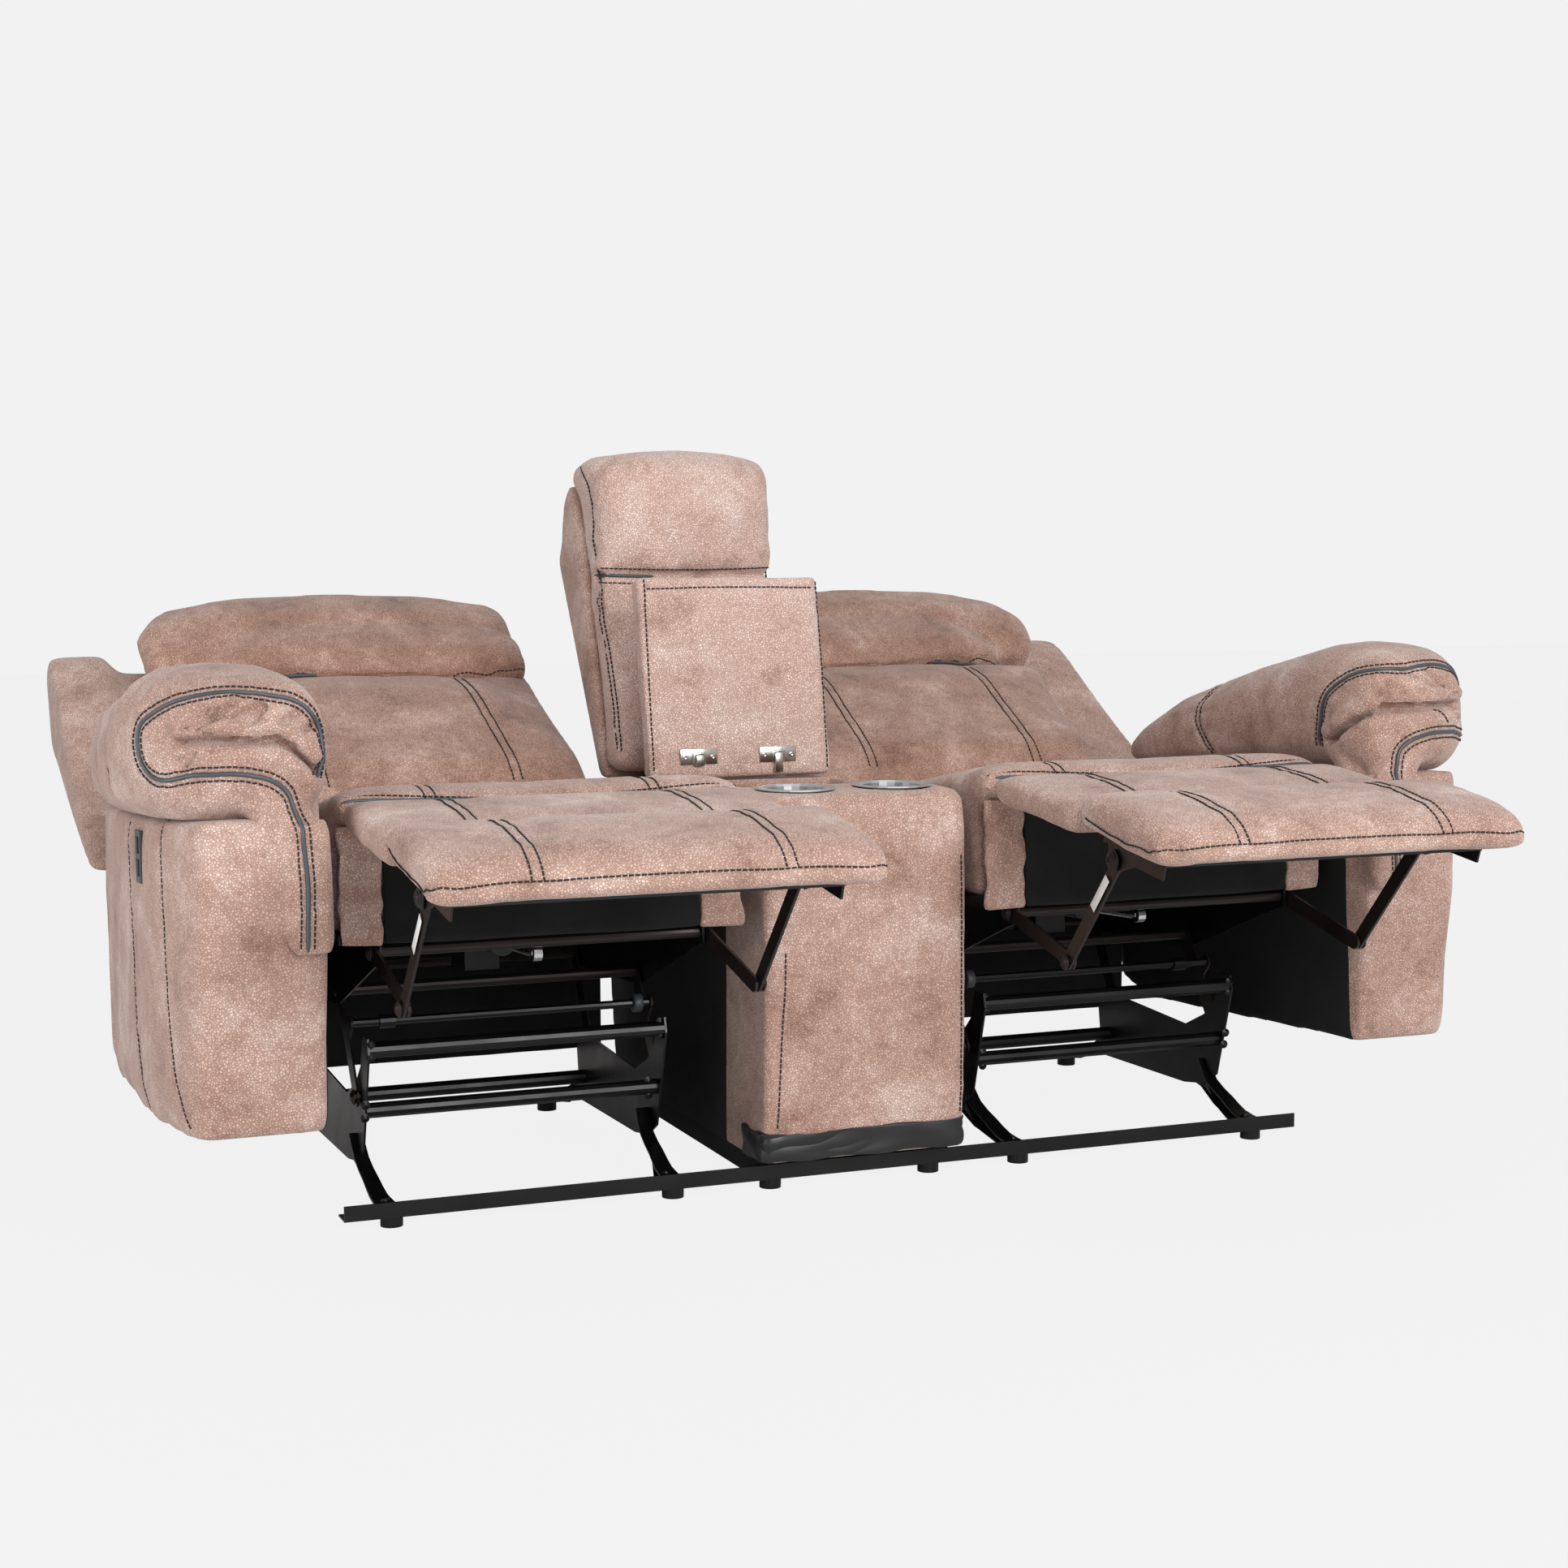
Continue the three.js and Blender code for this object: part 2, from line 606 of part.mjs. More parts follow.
function cup_holder(side) {
  const top = console_top_z + gap;
  const rim = cup_rim_diameter / 2;
  const r = cup_body_diameter / 2;
  const points = [
    [0, top - cup_depth], [r * 0.86, top - cup_depth], [r - cup_wall, top - cup_depth * 0.8], [r, top],
    [rim - cup_wall, top], [rim, top + cup_rim_lift * 0.4], [rim - cup_wall, top + cup_rim_lift],
    [r + cup_wall, top + cup_rim_lift], [r - cup_wall, top], [r - cup_wall * 2, top - cup_depth * 0.78],
    [r * 0.82, top - cup_depth + cup_wall], [0, top - cup_depth + cup_wall],
  ];
  const lathe = new THREE.LatheGeometry(points.map(([x, y]) => new THREE.Vector2(x, y)), 24);
  lathe.rotateX(Math.PI / 2);
  lathe.translate(side * cup_x, cup_y, 0);
  return lathe;
}

// Laid out about the closed back pivot, upright.
function upright(geometry) {
  return geometry.translate(0, back_pivot_closed_y, back_pivot_closed_z);
}

add('front_rail', front_rail(), black_steel);
add('console_box', console_box(), brown);
add('console_plinth', console_plinth(), black_cloth);
add('console_lid', console_lid(), brown);
add('lid_hinge_left', lid_hinge(-1), bright_steel);
add('lid_hinge_right', lid_hinge(1), bright_steel);
add('cup_holder_left', cup_holder(-1), bright_steel);
add('cup_holder_right', cup_holder(1), bright_steel);
const mw = middle_back_half_width;
const on_back = (shares) => sized(shares, back_depth, back_height);
const middle = (shares, round) => upright(slab(on_back(shares), -mw, mw, round, false));
add('console_back_frame', middle(middle_frame_shares, wing_round * 0.5), brown);
add('console_back_cushion', middle(middle_cushion_shares, wing_round), brown);
add('console_headrest', middle(headrest_shares, wing_round), brown);
pivot('pivot_lid', 0, lid_hinge_y, lid_hinge_z);

const seat_turn = new THREE.Matrix4().makeRotationX(-rad(seat_tilt_deg));
seat_turn.setPosition(0, seat_origin_y, seat_origin_z);
const seated = (geometry) => geometry.applyMatrix4(seat_turn);
const on_seat = (y, z) => {
  const p = new THREE.Vector3(0, y, z).applyMatrix4(seat_turn);
  return [p.y, p.z];
};

// Both copies of a thin plate, one each side of the seat centre.
function pair(outline, offset, thickness) {
  return [-1, 1].map((s) => {
    const a = seat_centre_x + s * offset;
    return plate(outline, Math.min(a, a + s * thickness), Math.max(a, a + s * thickness));
  });
}

function pins(at, offset, height, radius) {
  return [-1, 1].map((s) => {
    const a = seat_centre_x + s * (offset - gap);
    const b = seat_centre_x + s * (offset + height);
    return bar('x', at, Math.min(a, b), Math.max(a, b), radius, pin_sides);
  });
}

function across(at, reach, radius, sides) {
  return bar('x', at, seat_centre_x - reach, seat_centre_x + reach, radius, sides);
}

// A flat strap carried through frames of centre, width direction and thickness direction.
function strap(frames) {
  return loft(frames.map(([c, w, t]) => {
    const corner = (i, j) => new THREE.Vector3(
      c[0] + w[0] * i + t[0] * j, c[1] + w[1] * i + t[1] * j, c[2] + w[2] * i + t[2] * j);
    return [corner(-1, -1), corner(1, -1), corner(1, 1), corner(-1, 1)];
  }));
}

function base_frame() {
  const outline = sized(base_plate_shares, base_plate_rear_y, base_plate_top_z);
  const t = plate_thickness / 2;
  const w = strap_width / 2;
  const parts = [...pair(outline, base_plate_offset, plate_thickness)];
  const reach = base_plate_offset + t;
  const tubes = [[lower_tube_y, lower_tube_z], [upper_tube_y, upper_tube_z], [rear_tube_y, rear_tube_z]];
  tubes.forEach((at) => parts.push(across(at, reach, cross_tube_radius, 12)));
  const bases = [[swing_front_base_y, swing_front_base_z], [swing_rear_base_y, swing_rear_base_z]];
  const stub = swing_link_offset - base_plate_offset - plate_thickness - gap;
  bases.forEach((at) => parts.push(...pins(at, base_plate_offset + plate_thickness, stub, pin_radius)));
  [-1, 1].forEach((s, i) => {
    const px = seat_centre_x + s * reach;
    const fx = seat_centre_x + s * front_foot_offsets[i];
    const rx = seat_centre_x + s * rear_foot_offsets[i];
    const lie = glide_height + rail_thickness + gap + t;
    parts.push(strap([
      [[px, swing_front_base_y + w * 6, strap_width * 2.6], [0, 0, w], [t, 0, 0]],
      [[px, swing_front_base_y + w * 2, strap_width * 2.2], [0, 0, w], [t, 0, 0]],
      [[lerp(px, fx, 0.35), swing_front_base_y - w * 2, strap_width * 1.5], [w * 0.55, 0, w * 0.75],
        [t, 0, -t * 0.6]],
      [[fx, rail_depth + w * 1.6, lie + t], [w, 0, 0], [0, 0, -t]],
      [[fx, rail_depth - w * 0.4, lie], [w, 0, 0], [0, 0, -t]],
      [[fx, rail_thickness + gap * 2, lie], [w, 0, 0], [0, 0, -t]],
    ]));
    const top = foot_plate_z + t;
    parts.push(strap([
      [[px, rear_foot_y - w * 12, strap_width * 2.6], [0, 0, w], [t, 0, 0]],
      [[px, rear_foot_y - w * 8, strap_width * 2], [0, 0, w], [t, 0, 0]],
      [[lerp(px, rx, 0.5), rear_foot_y - w * 4.5, strap_width * 1.15], [w * 0.7, 0, w * 0.6],
        [t * 0.7, 0, -t * 0.7]],
      [[rx, rear_foot_y - w * 1.6, top + t], [w, 0, 0], [0, 0, -t]],
      [[rx, rear_foot_y + w * 1.3, top], [w, 0, 0], [0, 0, -t]],
    ]));
    parts.push(bar('z', [rx, rear_foot_y], 0, foot_plate_z + t, glide_diameter / 2));
  });
  return joined(parts);
}

function swing_links(from, to) {
  const arm = link_outline(from, to, swing_radius);
  const reach = swing_link_offset + plate_thickness / 2;
  const stub = seat_plate_offset - swing_link_offset - plate_thickness - gap;
  return joined([
    ...pair(arm, swing_link_offset, plate_thickness),
    ...pins(from, swing_link_offset + plate_thickness, head_height, head_radius),
    ...pins(to, swing_link_offset + plate_thickness, stub, pin_radius),
    across(to, reach, shaft_radius, 12),
  ]);
}

function front_links() {
  const from = [swing_front_base_y, swing_front_base_z];
  const to = [swing_front_top_y, swing_front_top_z];
  const middle_of_link = [lerp(from[0], to[0], 0.55), lerp(from[1], to[1], 0.55)];
  const lug = link_outline(middle_of_link, [drive_tube_y, drive_tube_z], link_radius);
  return joined([swing_links(from, to), ...pair(lug, swing_link_offset, plate_thickness)]);
}

function drive_tube() {
  const reach = swing_link_offset - gap;
  const x = seat_centre_x + base_plate_offset - collar_length * 1.5;
  const at = [drive_tube_y, drive_tube_z];
  return joined([
    across(at, reach, drive_tube_radius, 10),
    bar('x', at, x - collar_length, x, collar_radius, 12),
  ]);
}

function seat_frame() {
  const outline = sized(seat_plate_shares, seat_plate_rear_y, seat_plate_top_z);
  const x0 = seat_pad_inner_x + deck_inset;
  const x1 = seat_pad_outer_x - deck_inset;
  const solid = joined([
    box(x0, x1, deck_front_y, deck_rear_y, deck_bottom_z, deck_top_z),
    ...arm_mount_ys.map((y) => box(x1 - gap, arm_inner_x - gap, y, y + arm_mount_width, deck_bottom_z,
      deck_top_z)),
    ...pair(outline, seat_plate_offset, plate_thickness),
  ]);
  const hole = across([lower_pivot_y, lower_pivot_z], seat_plate_offset * 1.02, shaft_radius + gap, 12);
  const ends = pins([back_pivot_y, back_pivot_z], seat_plate_offset + plate_thickness,
    back_bracket_offset - seat_plate_offset - plate_thickness - gap, pin_radius);
  return seated(joined([cut(solid, [hole]), ...ends]));
}

const lower_start = [lower_pivot_y, lower_pivot_z];
const lower_end = [
  lower_pivot_y - lower_link_length * Math.cos(rad(lower_link_open_deg)),
  lower_pivot_z + lower_link_length * Math.sin(rad(lower_link_open_deg)),
];
const upper_end = [
  lower_end[0] - upper_link_length * Math.cos(rad(upper_link_open_deg)),
  lower_end[1] + upper_link_length * Math.sin(rad(upper_link_open_deg)),
];

function lower_links() {
  const reach = lower_link_offset + strap_thickness / 2;
  const stub = upper_link_offset - lower_link_offset - strap_thickness - gap;
  return seated(joined([
    ...pair(link_outline(lower_start, lower_end, link_radius), lower_link_offset, strap_thickness),
    across(lower_start, reach, shaft_radius, 12),
    ...pins(lower_start, lower_link_offset + strap_thickness, head_height, head_radius),
    ...pins(lower_end, lower_link_offset + strap_thickness, stub, pin_radius),
  ]));
}

function upper_links() {
  const reach = upper_link_offset + strap_thickness / 2;
  const stub = bracket_offset - upper_link_offset - strap_thickness - gap;
  return seated(joined([
    ...pair(link_outline(lower_end, upper_end, link_radius), upper_link_offset, strap_thickness),
    across(upper_end, reach, drive_tube_radius, 10),
    ...pins(lower_end, upper_link_offset + strap_thickness, head_height, head_radius),
    ...pins(upper_end, upper_link_offset + strap_thickness, stub, pin_radius),
  ]));
}

// Footrest pieces are laid out pointing forward from a pivot, then tilted on the seat.
function tilted(outline, at, deg) {
  const c = Math.cos(rad(deg));
  const s = Math.sin(rad(deg));
  return outline.map(([f, u, ...rest]) => [at[0] - (f * c - u * s), at[1] + (f * s + u * c), ...rest]);
}

const on_board = (shares) => {
  const flat = sized(shares, foot_pad_length, foot_pad_height);
  return tilted(flat, upper_end, board_open_deg);
};

function footrest_board() {
  const reach = bracket_offset + plate_thickness;
  const wing = on_board(bracket_shares);
  return seated(joined([
    plate(on_board(board_shares), seat_centre_x - reach, seat_centre_x + reach),
    ...pair(wing, bracket_offset, plate_thickness),
    ...pins(upper_end, bracket_offset + plate_thickness, head_height, head_radius),
  ]));
}

function footrest_pad() {
  return seated(slab(on_board(foot_pad_shares), seat_pad_inner_x, seat_pad_outer_x, wing_round, true));
}

function chaise_pad() {
  const flat = sized(chaise_shares, chaise_length, chaise_thickness);
  const outline = tilted(flat, [chaise_hinge_y, chaise_hinge_z], chaise_open_deg);
  const x0 = seat_pad_inner_x + deck_inset / 2;
  const x1 = seat_pad_outer_x - deck_inset / 2;
  return seated(slab(outline, x0, x1, wing_round * 0.6, true));
}

function seat_front() {
  const y0 = front_panel_y;
  const y1 = y0 + front_panel_thickness;
  const z0 = front_panel_bottom_z;
  const z1 = front_panel_top_z;
  const r = front_panel_thickness / 2;
  const outline = [[y0 + r, z0], [y0, z0 + r], [y0, z1 - r], [y0 + r, z1], [y1, z1], [y1, z0]];
  return seated(plate(outline, seat_pad_inner_x + deck_inset, seat_pad_outer_x - deck_inset));
}

// The cloth that hangs behind the seat, between its cushion's sides.
function rear_apron() {
  return box(seat_pad_inner_x + deck_inset, seat_pad_outer_x - deck_inset, apron_front_y,
    apron_front_y + apron_thickness, apron_bottom_z, apron_top_z);
}

function arm_body() {
  const levels = arm_levels_shares.map((v) => v * arm_height);
  const fronts = arm_front_shares.map((v) => v * arm_length);
  const rears = arm_rear_shares.map((v) => v * arm_length);
  const loops = arm_station_shares.map((share, i) => {
    const last = arm_station_shares.length - 1;
    const near = Math.min(i, last - i);
    const inset = near === 0 ? arm_round : near === 1 ? arm_round * 0.35 : 0;
    const at = (side) => levels.map((z, k) => {
      const y = lerp(fronts[k], rears[k], share);
      const x = side > 0 ? arm_outer_at(y) - inset : arm_inner_x + inset * 0.3;
      const foot = side > 0 && k === 0 ? arm_round * 0.25 : 0;
      return new THREE.Vector3(x - foot, y, z);
    });
    return [...at(1), ...at(-1).reverse()];
  });
  return seated(loft(loops, true));
}

function arm_pillow() {
  return seated(loft(pillow_stations_shares.map((station) => {
    const y = station[0] * arm_length;
    const [low, high] = station.slice(1, 3).map((share) => share * pillow_top_z);
    const [inner, outer] = station.slice(3).map(arm_side);
    const loop = [];
    for (let i = 0; i < round_sides; i += 1) {
      const turn = (2 * Math.PI * i) / round_sides;
      const c = Math.cos(turn);
      const s = Math.sin(turn);
      const power = s > 0 ? pillow_power_share : pillow_flat_share;
      const u = Math.sign(c) * Math.abs(c) ** power;
      const v = Math.sign(s) * Math.abs(s) ** power;
      loop.push(new THREE.Vector3((inner + outer) / 2 + (u * (outer - inner)) / 2, y,
        (low + high) / 2 + (v * (high - low)) / 2));
    }
    return loop;
  })));
}

function arm_band() {
  const levels = arm_levels_shares.map((v, k) => [v * arm_height, arm_front_shares[k] * arm_length]);
  return seated(loft(band_levels_shares.map((share, i) => {
    const z = share * arm_height;
    const rear = along(levels, z) - gap * 2;
    const inset = band_inset_shares[i];
    const t = band_thickness * (1 - inset * 0.6);
    const x0 = arm_inner_x + gap + inset * gap * 4;
    const x1 = arm_inner_x + band_width - inset * gap * 4;
    const r = t * 0.45;
    const face = rear - t;
    return [[x0, rear], [x0, face + r], [x0 + r, face], [x1 - r, face], [x1, face + r], [x1, rear]]
      .map(([x, y]) => new THREE.Vector3(x, y, z));
  })));
}

function switch_plate() {
  const solid = box(switch_face_x, switch_face_x + switch_thickness, switch_y - switch_width / 2,
    switch_y + switch_width / 2, switch_z - switch_height / 2, switch_z + switch_height / 2);
  const holes = [-1, 1].map((s) => {
    const z = switch_z + (s * button_pitch) / 2;
    const w = button_width / 2 + button_clearance;
    const h = button_height / 2 + button_clearance;
    const face = switch_face_x + switch_thickness;
    return box(switch_face_x - gap, face + gap, switch_y - w, switch_y + w, z - h, z + h);
  });
  return seated(cut(solid, holes));
}

function button(side) {
  const z = switch_z + (side * button_pitch) / 2;
  const w = button_width / 2;
  const h = button_height / 2;
  const x1 = switch_face_x + switch_thickness + button_proud;
  return seated(box(x1 - button_thickness, x1, switch_y - w, switch_y + w, z - h, z + h));
}

function leaned(geometry) {
  geometry.rotateX(-rad(back_recline_deg));
  const [y, z] = on_seat(back_pivot_y, back_pivot_z);
  return geometry.translate(0, y, z);
}

function back_frame() {
  const main = slab(on_back(side_frame_shares), pad_x[0], pad_x[1] + deck_inset, wing_round * 0.4, false);
  const outer = on_back(wing_shares);
  const inner = on_back(wing_inner_shares);
  const mid = outer.reduce((a, p) => [a[0] + p[0] / outer.length, a[1] + p[1] / outer.length], [0, 0]);
  const r = wing_round;
  const step = arm_side(wing_step_share);
  const stations = [
    [seat_pad_outer_x - r, 0, inner], [step, 0, inner], [step + r, 0, outer], [wing_outer_x - r, 0, outer],
    [wing_outer_x - r * 0.3, r * 0.35, outer], [wing_outer_x, r, outer],
  ];
  const wing = loft(stations.map(([x, inset, outline]) => outline.map(([y, z]) => {
    const reach = Math.hypot(mid[0] - y, mid[1] - z);
    return new THREE.Vector3(x, y + ((mid[0] - y) / reach) * inset, z + ((mid[1] - z) / reach) * inset);
  })));
  const bracket = sized(back_bracket_shares, back_bracket_height, back_bracket_height);
  const brackets = pair(bracket, back_bracket_offset, plate_thickness);
  return leaned(joined([main, wing, ...brackets]));
}

function actuator_motor() {
  const at = [seat_centre_x, motor_z];
  const half = gearbox_width / 2;
  const box_front = motor_rear_y - gearbox_length;
  const solid = joined([
    bar('y', at, motor_front_y, motor_rear_y, motor_radius),
    box(seat_centre_x - half, seat_centre_x + half, box_front, motor_rear_y + gearbox_length / 2,
      motor_z - motor_radius - gearbox_drop, deck_bottom_z - gap),
  ]);
  return seated(cut(solid, [bar('y', at, motor_front_y - gap, motor_bore_rear_y, motor_bore_radius, 12)]));
}

function actuator_rod() {
  const at = [seat_centre_x, motor_z];
  const w = rod_eye_width / 2;
  return seated(joined([
    bar('y', at, rod_front_y, rod_rear_y, rod_radius, 12),
    bar('x', [rod_front_y, motor_z], seat_centre_x - w, seat_centre_x + w, rod_eye_radius, 12),
  ]));
}

const pad_x = [seat_pad_inner_x, seat_pad_outer_x];
function back_soft(shares, round, sewn) {
  return leaned(slab(on_back(shares), pad_x[0], pad_x[1] + deck_inset, round, sewn));
}

const rear_base = [swing_rear_base_y, swing_rear_base_z];
const rear_top = [swing_rear_top_y, swing_rear_top_z];
const pad_outline = sized(seat_pad_shares, seat_pad_rear_y, seat_pad_top_z);

[-1, 1].forEach((side) => {
  const mirror = side < 0;
  const tag = mirror ? 'left' : 'right';
  const put = (name, geometry, look) => add(`${name}_${tag}`, geometry, look, mirror);
  put('base_frame', base_frame(), black_steel);
  put('front_links', front_links(), link_steel);
  put('rear_links', swing_links(rear_base, rear_top), link_steel);
  put('drive_tube', drive_tube(), black_steel);
  put('seat_frame', seat_frame(), black_steel);
  put('seat_cushion', seated(slab(pad_outline, ...pad_x, wing_round, true)), brown);
  put('seat_front', seat_front(), brown);
  put('rear_apron', rear_apron(), black_cloth);
  put('arm_body', arm_body(), brown);
  put('arm_pillow', arm_pillow(), brown);
  put('arm_band', arm_band(), brown);
  put('switch_plate', switch_plate(), grey_plastic);
  put('button_open', button(1), black_plastic);
  put('button_close', button(-1), black_plastic);
  put('lower_links', lower_links(), link_steel);
  put('upper_links', upper_links(), link_steel);
  put('footrest_board', footrest_board(), black_steel);
  put('footrest_pad', footrest_pad(), brown);
  put('chaise_pad', chaise_pad(), brown);
  put('back_frame', back_frame(), brown);
  put('back_cushion', back_soft(side_cushion_shares, wing_round, true), brown);
  put('headrest', back_soft(side_headrest_shares, wing_round * 1.4, false), brown);
  put('actuator_motor', actuator_motor(), black_plastic);
  put('actuator_rod', actuator_rod(), bright_steel);
  pivot(`pivot_front_base_${tag}`, side * seat_centre_x, swing_front_base_y, swing_front_base_z);
  pivot(`pivot_front_top_${tag}`, side * seat_centre_x, swing_front_top_y, swing_front_top_z);
  pivot(`pivot_rear_base_${tag}`, side * seat_centre_x, swing_rear_base_y, swing_rear_base_z);
  pivot(`pivot_rear_top_${tag}`, side * seat_centre_x, swing_rear_top_y, swing_rear_top_z);
  pivot(`pivot_lower_${tag}`, side * seat_centre_x, ...on_seat(...lower_start));
  pivot(`pivot_upper_${tag}`, side * seat_centre_x, ...on_seat(...lower_end));
  pivot(`pivot_board_${tag}`, side * seat_centre_x, ...on_seat(...upper_end));
  pivot(`pivot_chaise_${tag}`, side * seat_centre_x, ...on_seat(chaise_hinge_y, chaise_hinge_z));
  pivot(`pivot_back_${tag}`, side * seat_centre_x, ...on_seat(back_pivot_y, back_pivot_z));
});

// The bottom centre of the whole sofa is the origin.
const bounds = new THREE.Box3();
group.children.forEach((m) => { if (m.isMesh) bounds.union(new THREE.Box3().setFromObject(m)); });
const centre = bounds.getCenter(new THREE.Vector3());
group.children.forEach((child) => {
  if (child.isMesh) child.geometry.translate(-centre.x, -centre.y, -bounds.min.z);
  else child.position.sub(new THREE.Vector3(centre.x, centre.y, bounds.min.z));
});

export default group;
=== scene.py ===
# %% [markdown]
# This file dresses a two-seat power reclining sofa with a fixed console between its seats.
# The frame holds every plate, link and plain cushion at its real place, and each later cell
# makes the visible piece that stands for one or more of them.

# %% Load the frame
import json
import math

import bpy
import numpy as np
from mathutils import Matrix, Vector, noise
from mathutils.bvhtree import BVHTree
from mathutils.kdtree import KDTree

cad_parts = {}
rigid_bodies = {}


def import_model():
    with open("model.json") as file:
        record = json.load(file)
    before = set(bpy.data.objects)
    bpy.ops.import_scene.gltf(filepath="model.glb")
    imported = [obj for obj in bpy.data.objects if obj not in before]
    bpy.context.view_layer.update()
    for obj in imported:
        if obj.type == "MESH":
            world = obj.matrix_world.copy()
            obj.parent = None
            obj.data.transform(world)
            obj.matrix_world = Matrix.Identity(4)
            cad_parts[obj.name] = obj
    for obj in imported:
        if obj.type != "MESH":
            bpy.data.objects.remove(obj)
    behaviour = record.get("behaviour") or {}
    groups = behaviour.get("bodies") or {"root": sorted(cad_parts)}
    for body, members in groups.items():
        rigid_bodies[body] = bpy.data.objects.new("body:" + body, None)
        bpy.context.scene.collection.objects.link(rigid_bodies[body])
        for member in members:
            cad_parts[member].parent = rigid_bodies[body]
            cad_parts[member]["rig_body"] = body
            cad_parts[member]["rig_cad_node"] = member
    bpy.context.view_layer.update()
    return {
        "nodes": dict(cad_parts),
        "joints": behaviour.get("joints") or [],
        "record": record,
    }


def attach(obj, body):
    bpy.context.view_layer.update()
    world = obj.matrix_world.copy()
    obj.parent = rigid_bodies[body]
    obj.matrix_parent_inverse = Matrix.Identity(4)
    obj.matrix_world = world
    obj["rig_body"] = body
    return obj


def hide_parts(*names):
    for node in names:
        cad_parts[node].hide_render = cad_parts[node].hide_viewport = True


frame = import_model()
MM = 0.001
JOINTS = {j["name"]: j for j in frame["joints"]}

# %% [markdown]
# The camera stands low and to the left, with a 59 mm lens. Its place was worked out from the
# straight edges of the floor rail and the console.

# %% Camera
CAMERA_PLACE = (-1.4444, JOINTS["lid"]["pos_m"][1] - 3.745797, 0.9138)
CAMERA_YAW = 22.0
CAMERA_PITCH = 5.39
CAMERA_ROLL = 0.075
camera_data = bpy.data.cameras.new("camera")
camera_data.lens = 58.71
camera_data.sensor_width = 36.0


def add_object(name, data):
    item = bpy.data.objects.new(name, data)
    bpy.context.scene.collection.objects.link(item)
    return item


camera = add_object("camera", camera_data)
camera.location = CAMERA_PLACE
aim = Matrix.Rotation(math.radians(-CAMERA_YAW), 4, "Z") @ Matrix.Rotation(math.radians(90 - CAMERA_PITCH), 4, "X")
camera.rotation_euler = (aim @ Matrix.Rotation(math.radians(-CAMERA_ROLL), 4, "Z")).to_euler()
bpy.context.scene.camera = camera
bpy.context.scene.view_settings.view_transform = "Standard"
print("camera at", CAMERA_PLACE)

# %% [markdown]
# An operator acts on all that is selected, so everything is deselected before each of them.


# %% Helpers for objects
def deselect():
    for item in bpy.context.selected_objects:
        item.select_set(False)


def pick(item):
    deselect()
    item.select_set(True)
    bpy.context.view_layer.objects.active = item


def edit(item, chosen="DESELECT"):
    """Goes into edit mode, by faces, with all or nothing selected."""
    pick(item)
    bpy.ops.object.mode_set(mode="EDIT")
    bpy.ops.mesh.select_mode(type="FACE")
    bpy.ops.mesh.select_all(action=chosen)


def done():
    bpy.ops.object.mode_set(mode="OBJECT")


def select_faces(item, rule):
    """Goes into edit mode with the faces that the rule picks by centre and normal."""
    edit(item)
    done()
    for face in item.data.polygons:
        face.select = bool(rule(face.center, face.normal))
    bpy.ops.object.mode_set(mode="EDIT")


def cut_away(item, place, direction, fill=False):
    """Cuts a piece with a plane and drops the side that the direction points to."""
    edit(item, "SELECT")
    bpy.ops.mesh.bisect(plane_co=place, plane_no=direction, use_fill=fill, clear_outer=True)
    done()


def subdivide(item):
    edit(item, "SELECT")
    bpy.ops.mesh.subdivide(number_cuts=9)
    done()


def rename(item, name):
    item.name = item.data.name = name
    return item


def duplicate(item, name):
    copy = item.copy()
    copy.data = item.data.copy()
    bpy.context.scene.collection.objects.link(copy)
    return rename(copy, name)


def modify(item, kind=None, **values):
    """Adds a modifier with its values, and applies all that the piece has."""
    if kind:
        modifier = item.modifiers.new(kind.lower(), kind)
        for key, value in values.items():
            setattr(modifier, key, value)
    pick(item)
    for modifier in list(item.modifiers):
        bpy.ops.object.modifier_apply(modifier=modifier.name)
    return item


def apply_place(item):
    pick(item)
    bpy.ops.object.transform_apply(location=True, rotation=True, scale=True)
    return item


def smooth(item, degrees):
    pick(item)
    bpy.ops.object.shade_smooth_by_angle(angle=math.radians(degrees))
    return item


def join(items, name):
    deselect()
    for item in items:
        item.select_set(True)
    bpy.context.view_layer.objects.active = items[0]
    bpy.ops.object.join()
    return rename(items[0], name)


def cube(low, high):
    """Adds a cube and stretches it between two corners."""
    deselect()
    low, high = Vector(low), Vector(high)
    bpy.ops.mesh.primitive_cube_add(size=1, location=(low + high) / 2)
    item = bpy.context.active_object
    item.scale = high - low
    return apply_place(item)


def places(item):
    co = np.empty(len(item.data.vertices) * 3)
    item.data.vertices.foreach_get("co", co)
    return co.reshape(-1, 3)


def normals(item):
    no = np.empty(len(item.data.vertices) * 3)
    item.data.vertex_normals.foreach_get("vector", no)
    return no.reshape(-1, 3)


def place_all(item, co):
    item.data.vertices.foreach_set("co", np.asarray(co, float).ravel())
    item.data.update()


# %% [markdown]
# The seats are tipped back by 3.3 degrees, so their pieces are laid out in a frame that tips with them.
# The footrest pivot tells where its origin is, the bottom front corner of the arm. The backs have such
# a frame too. The console is upright, and measured from the lid's hinge line.

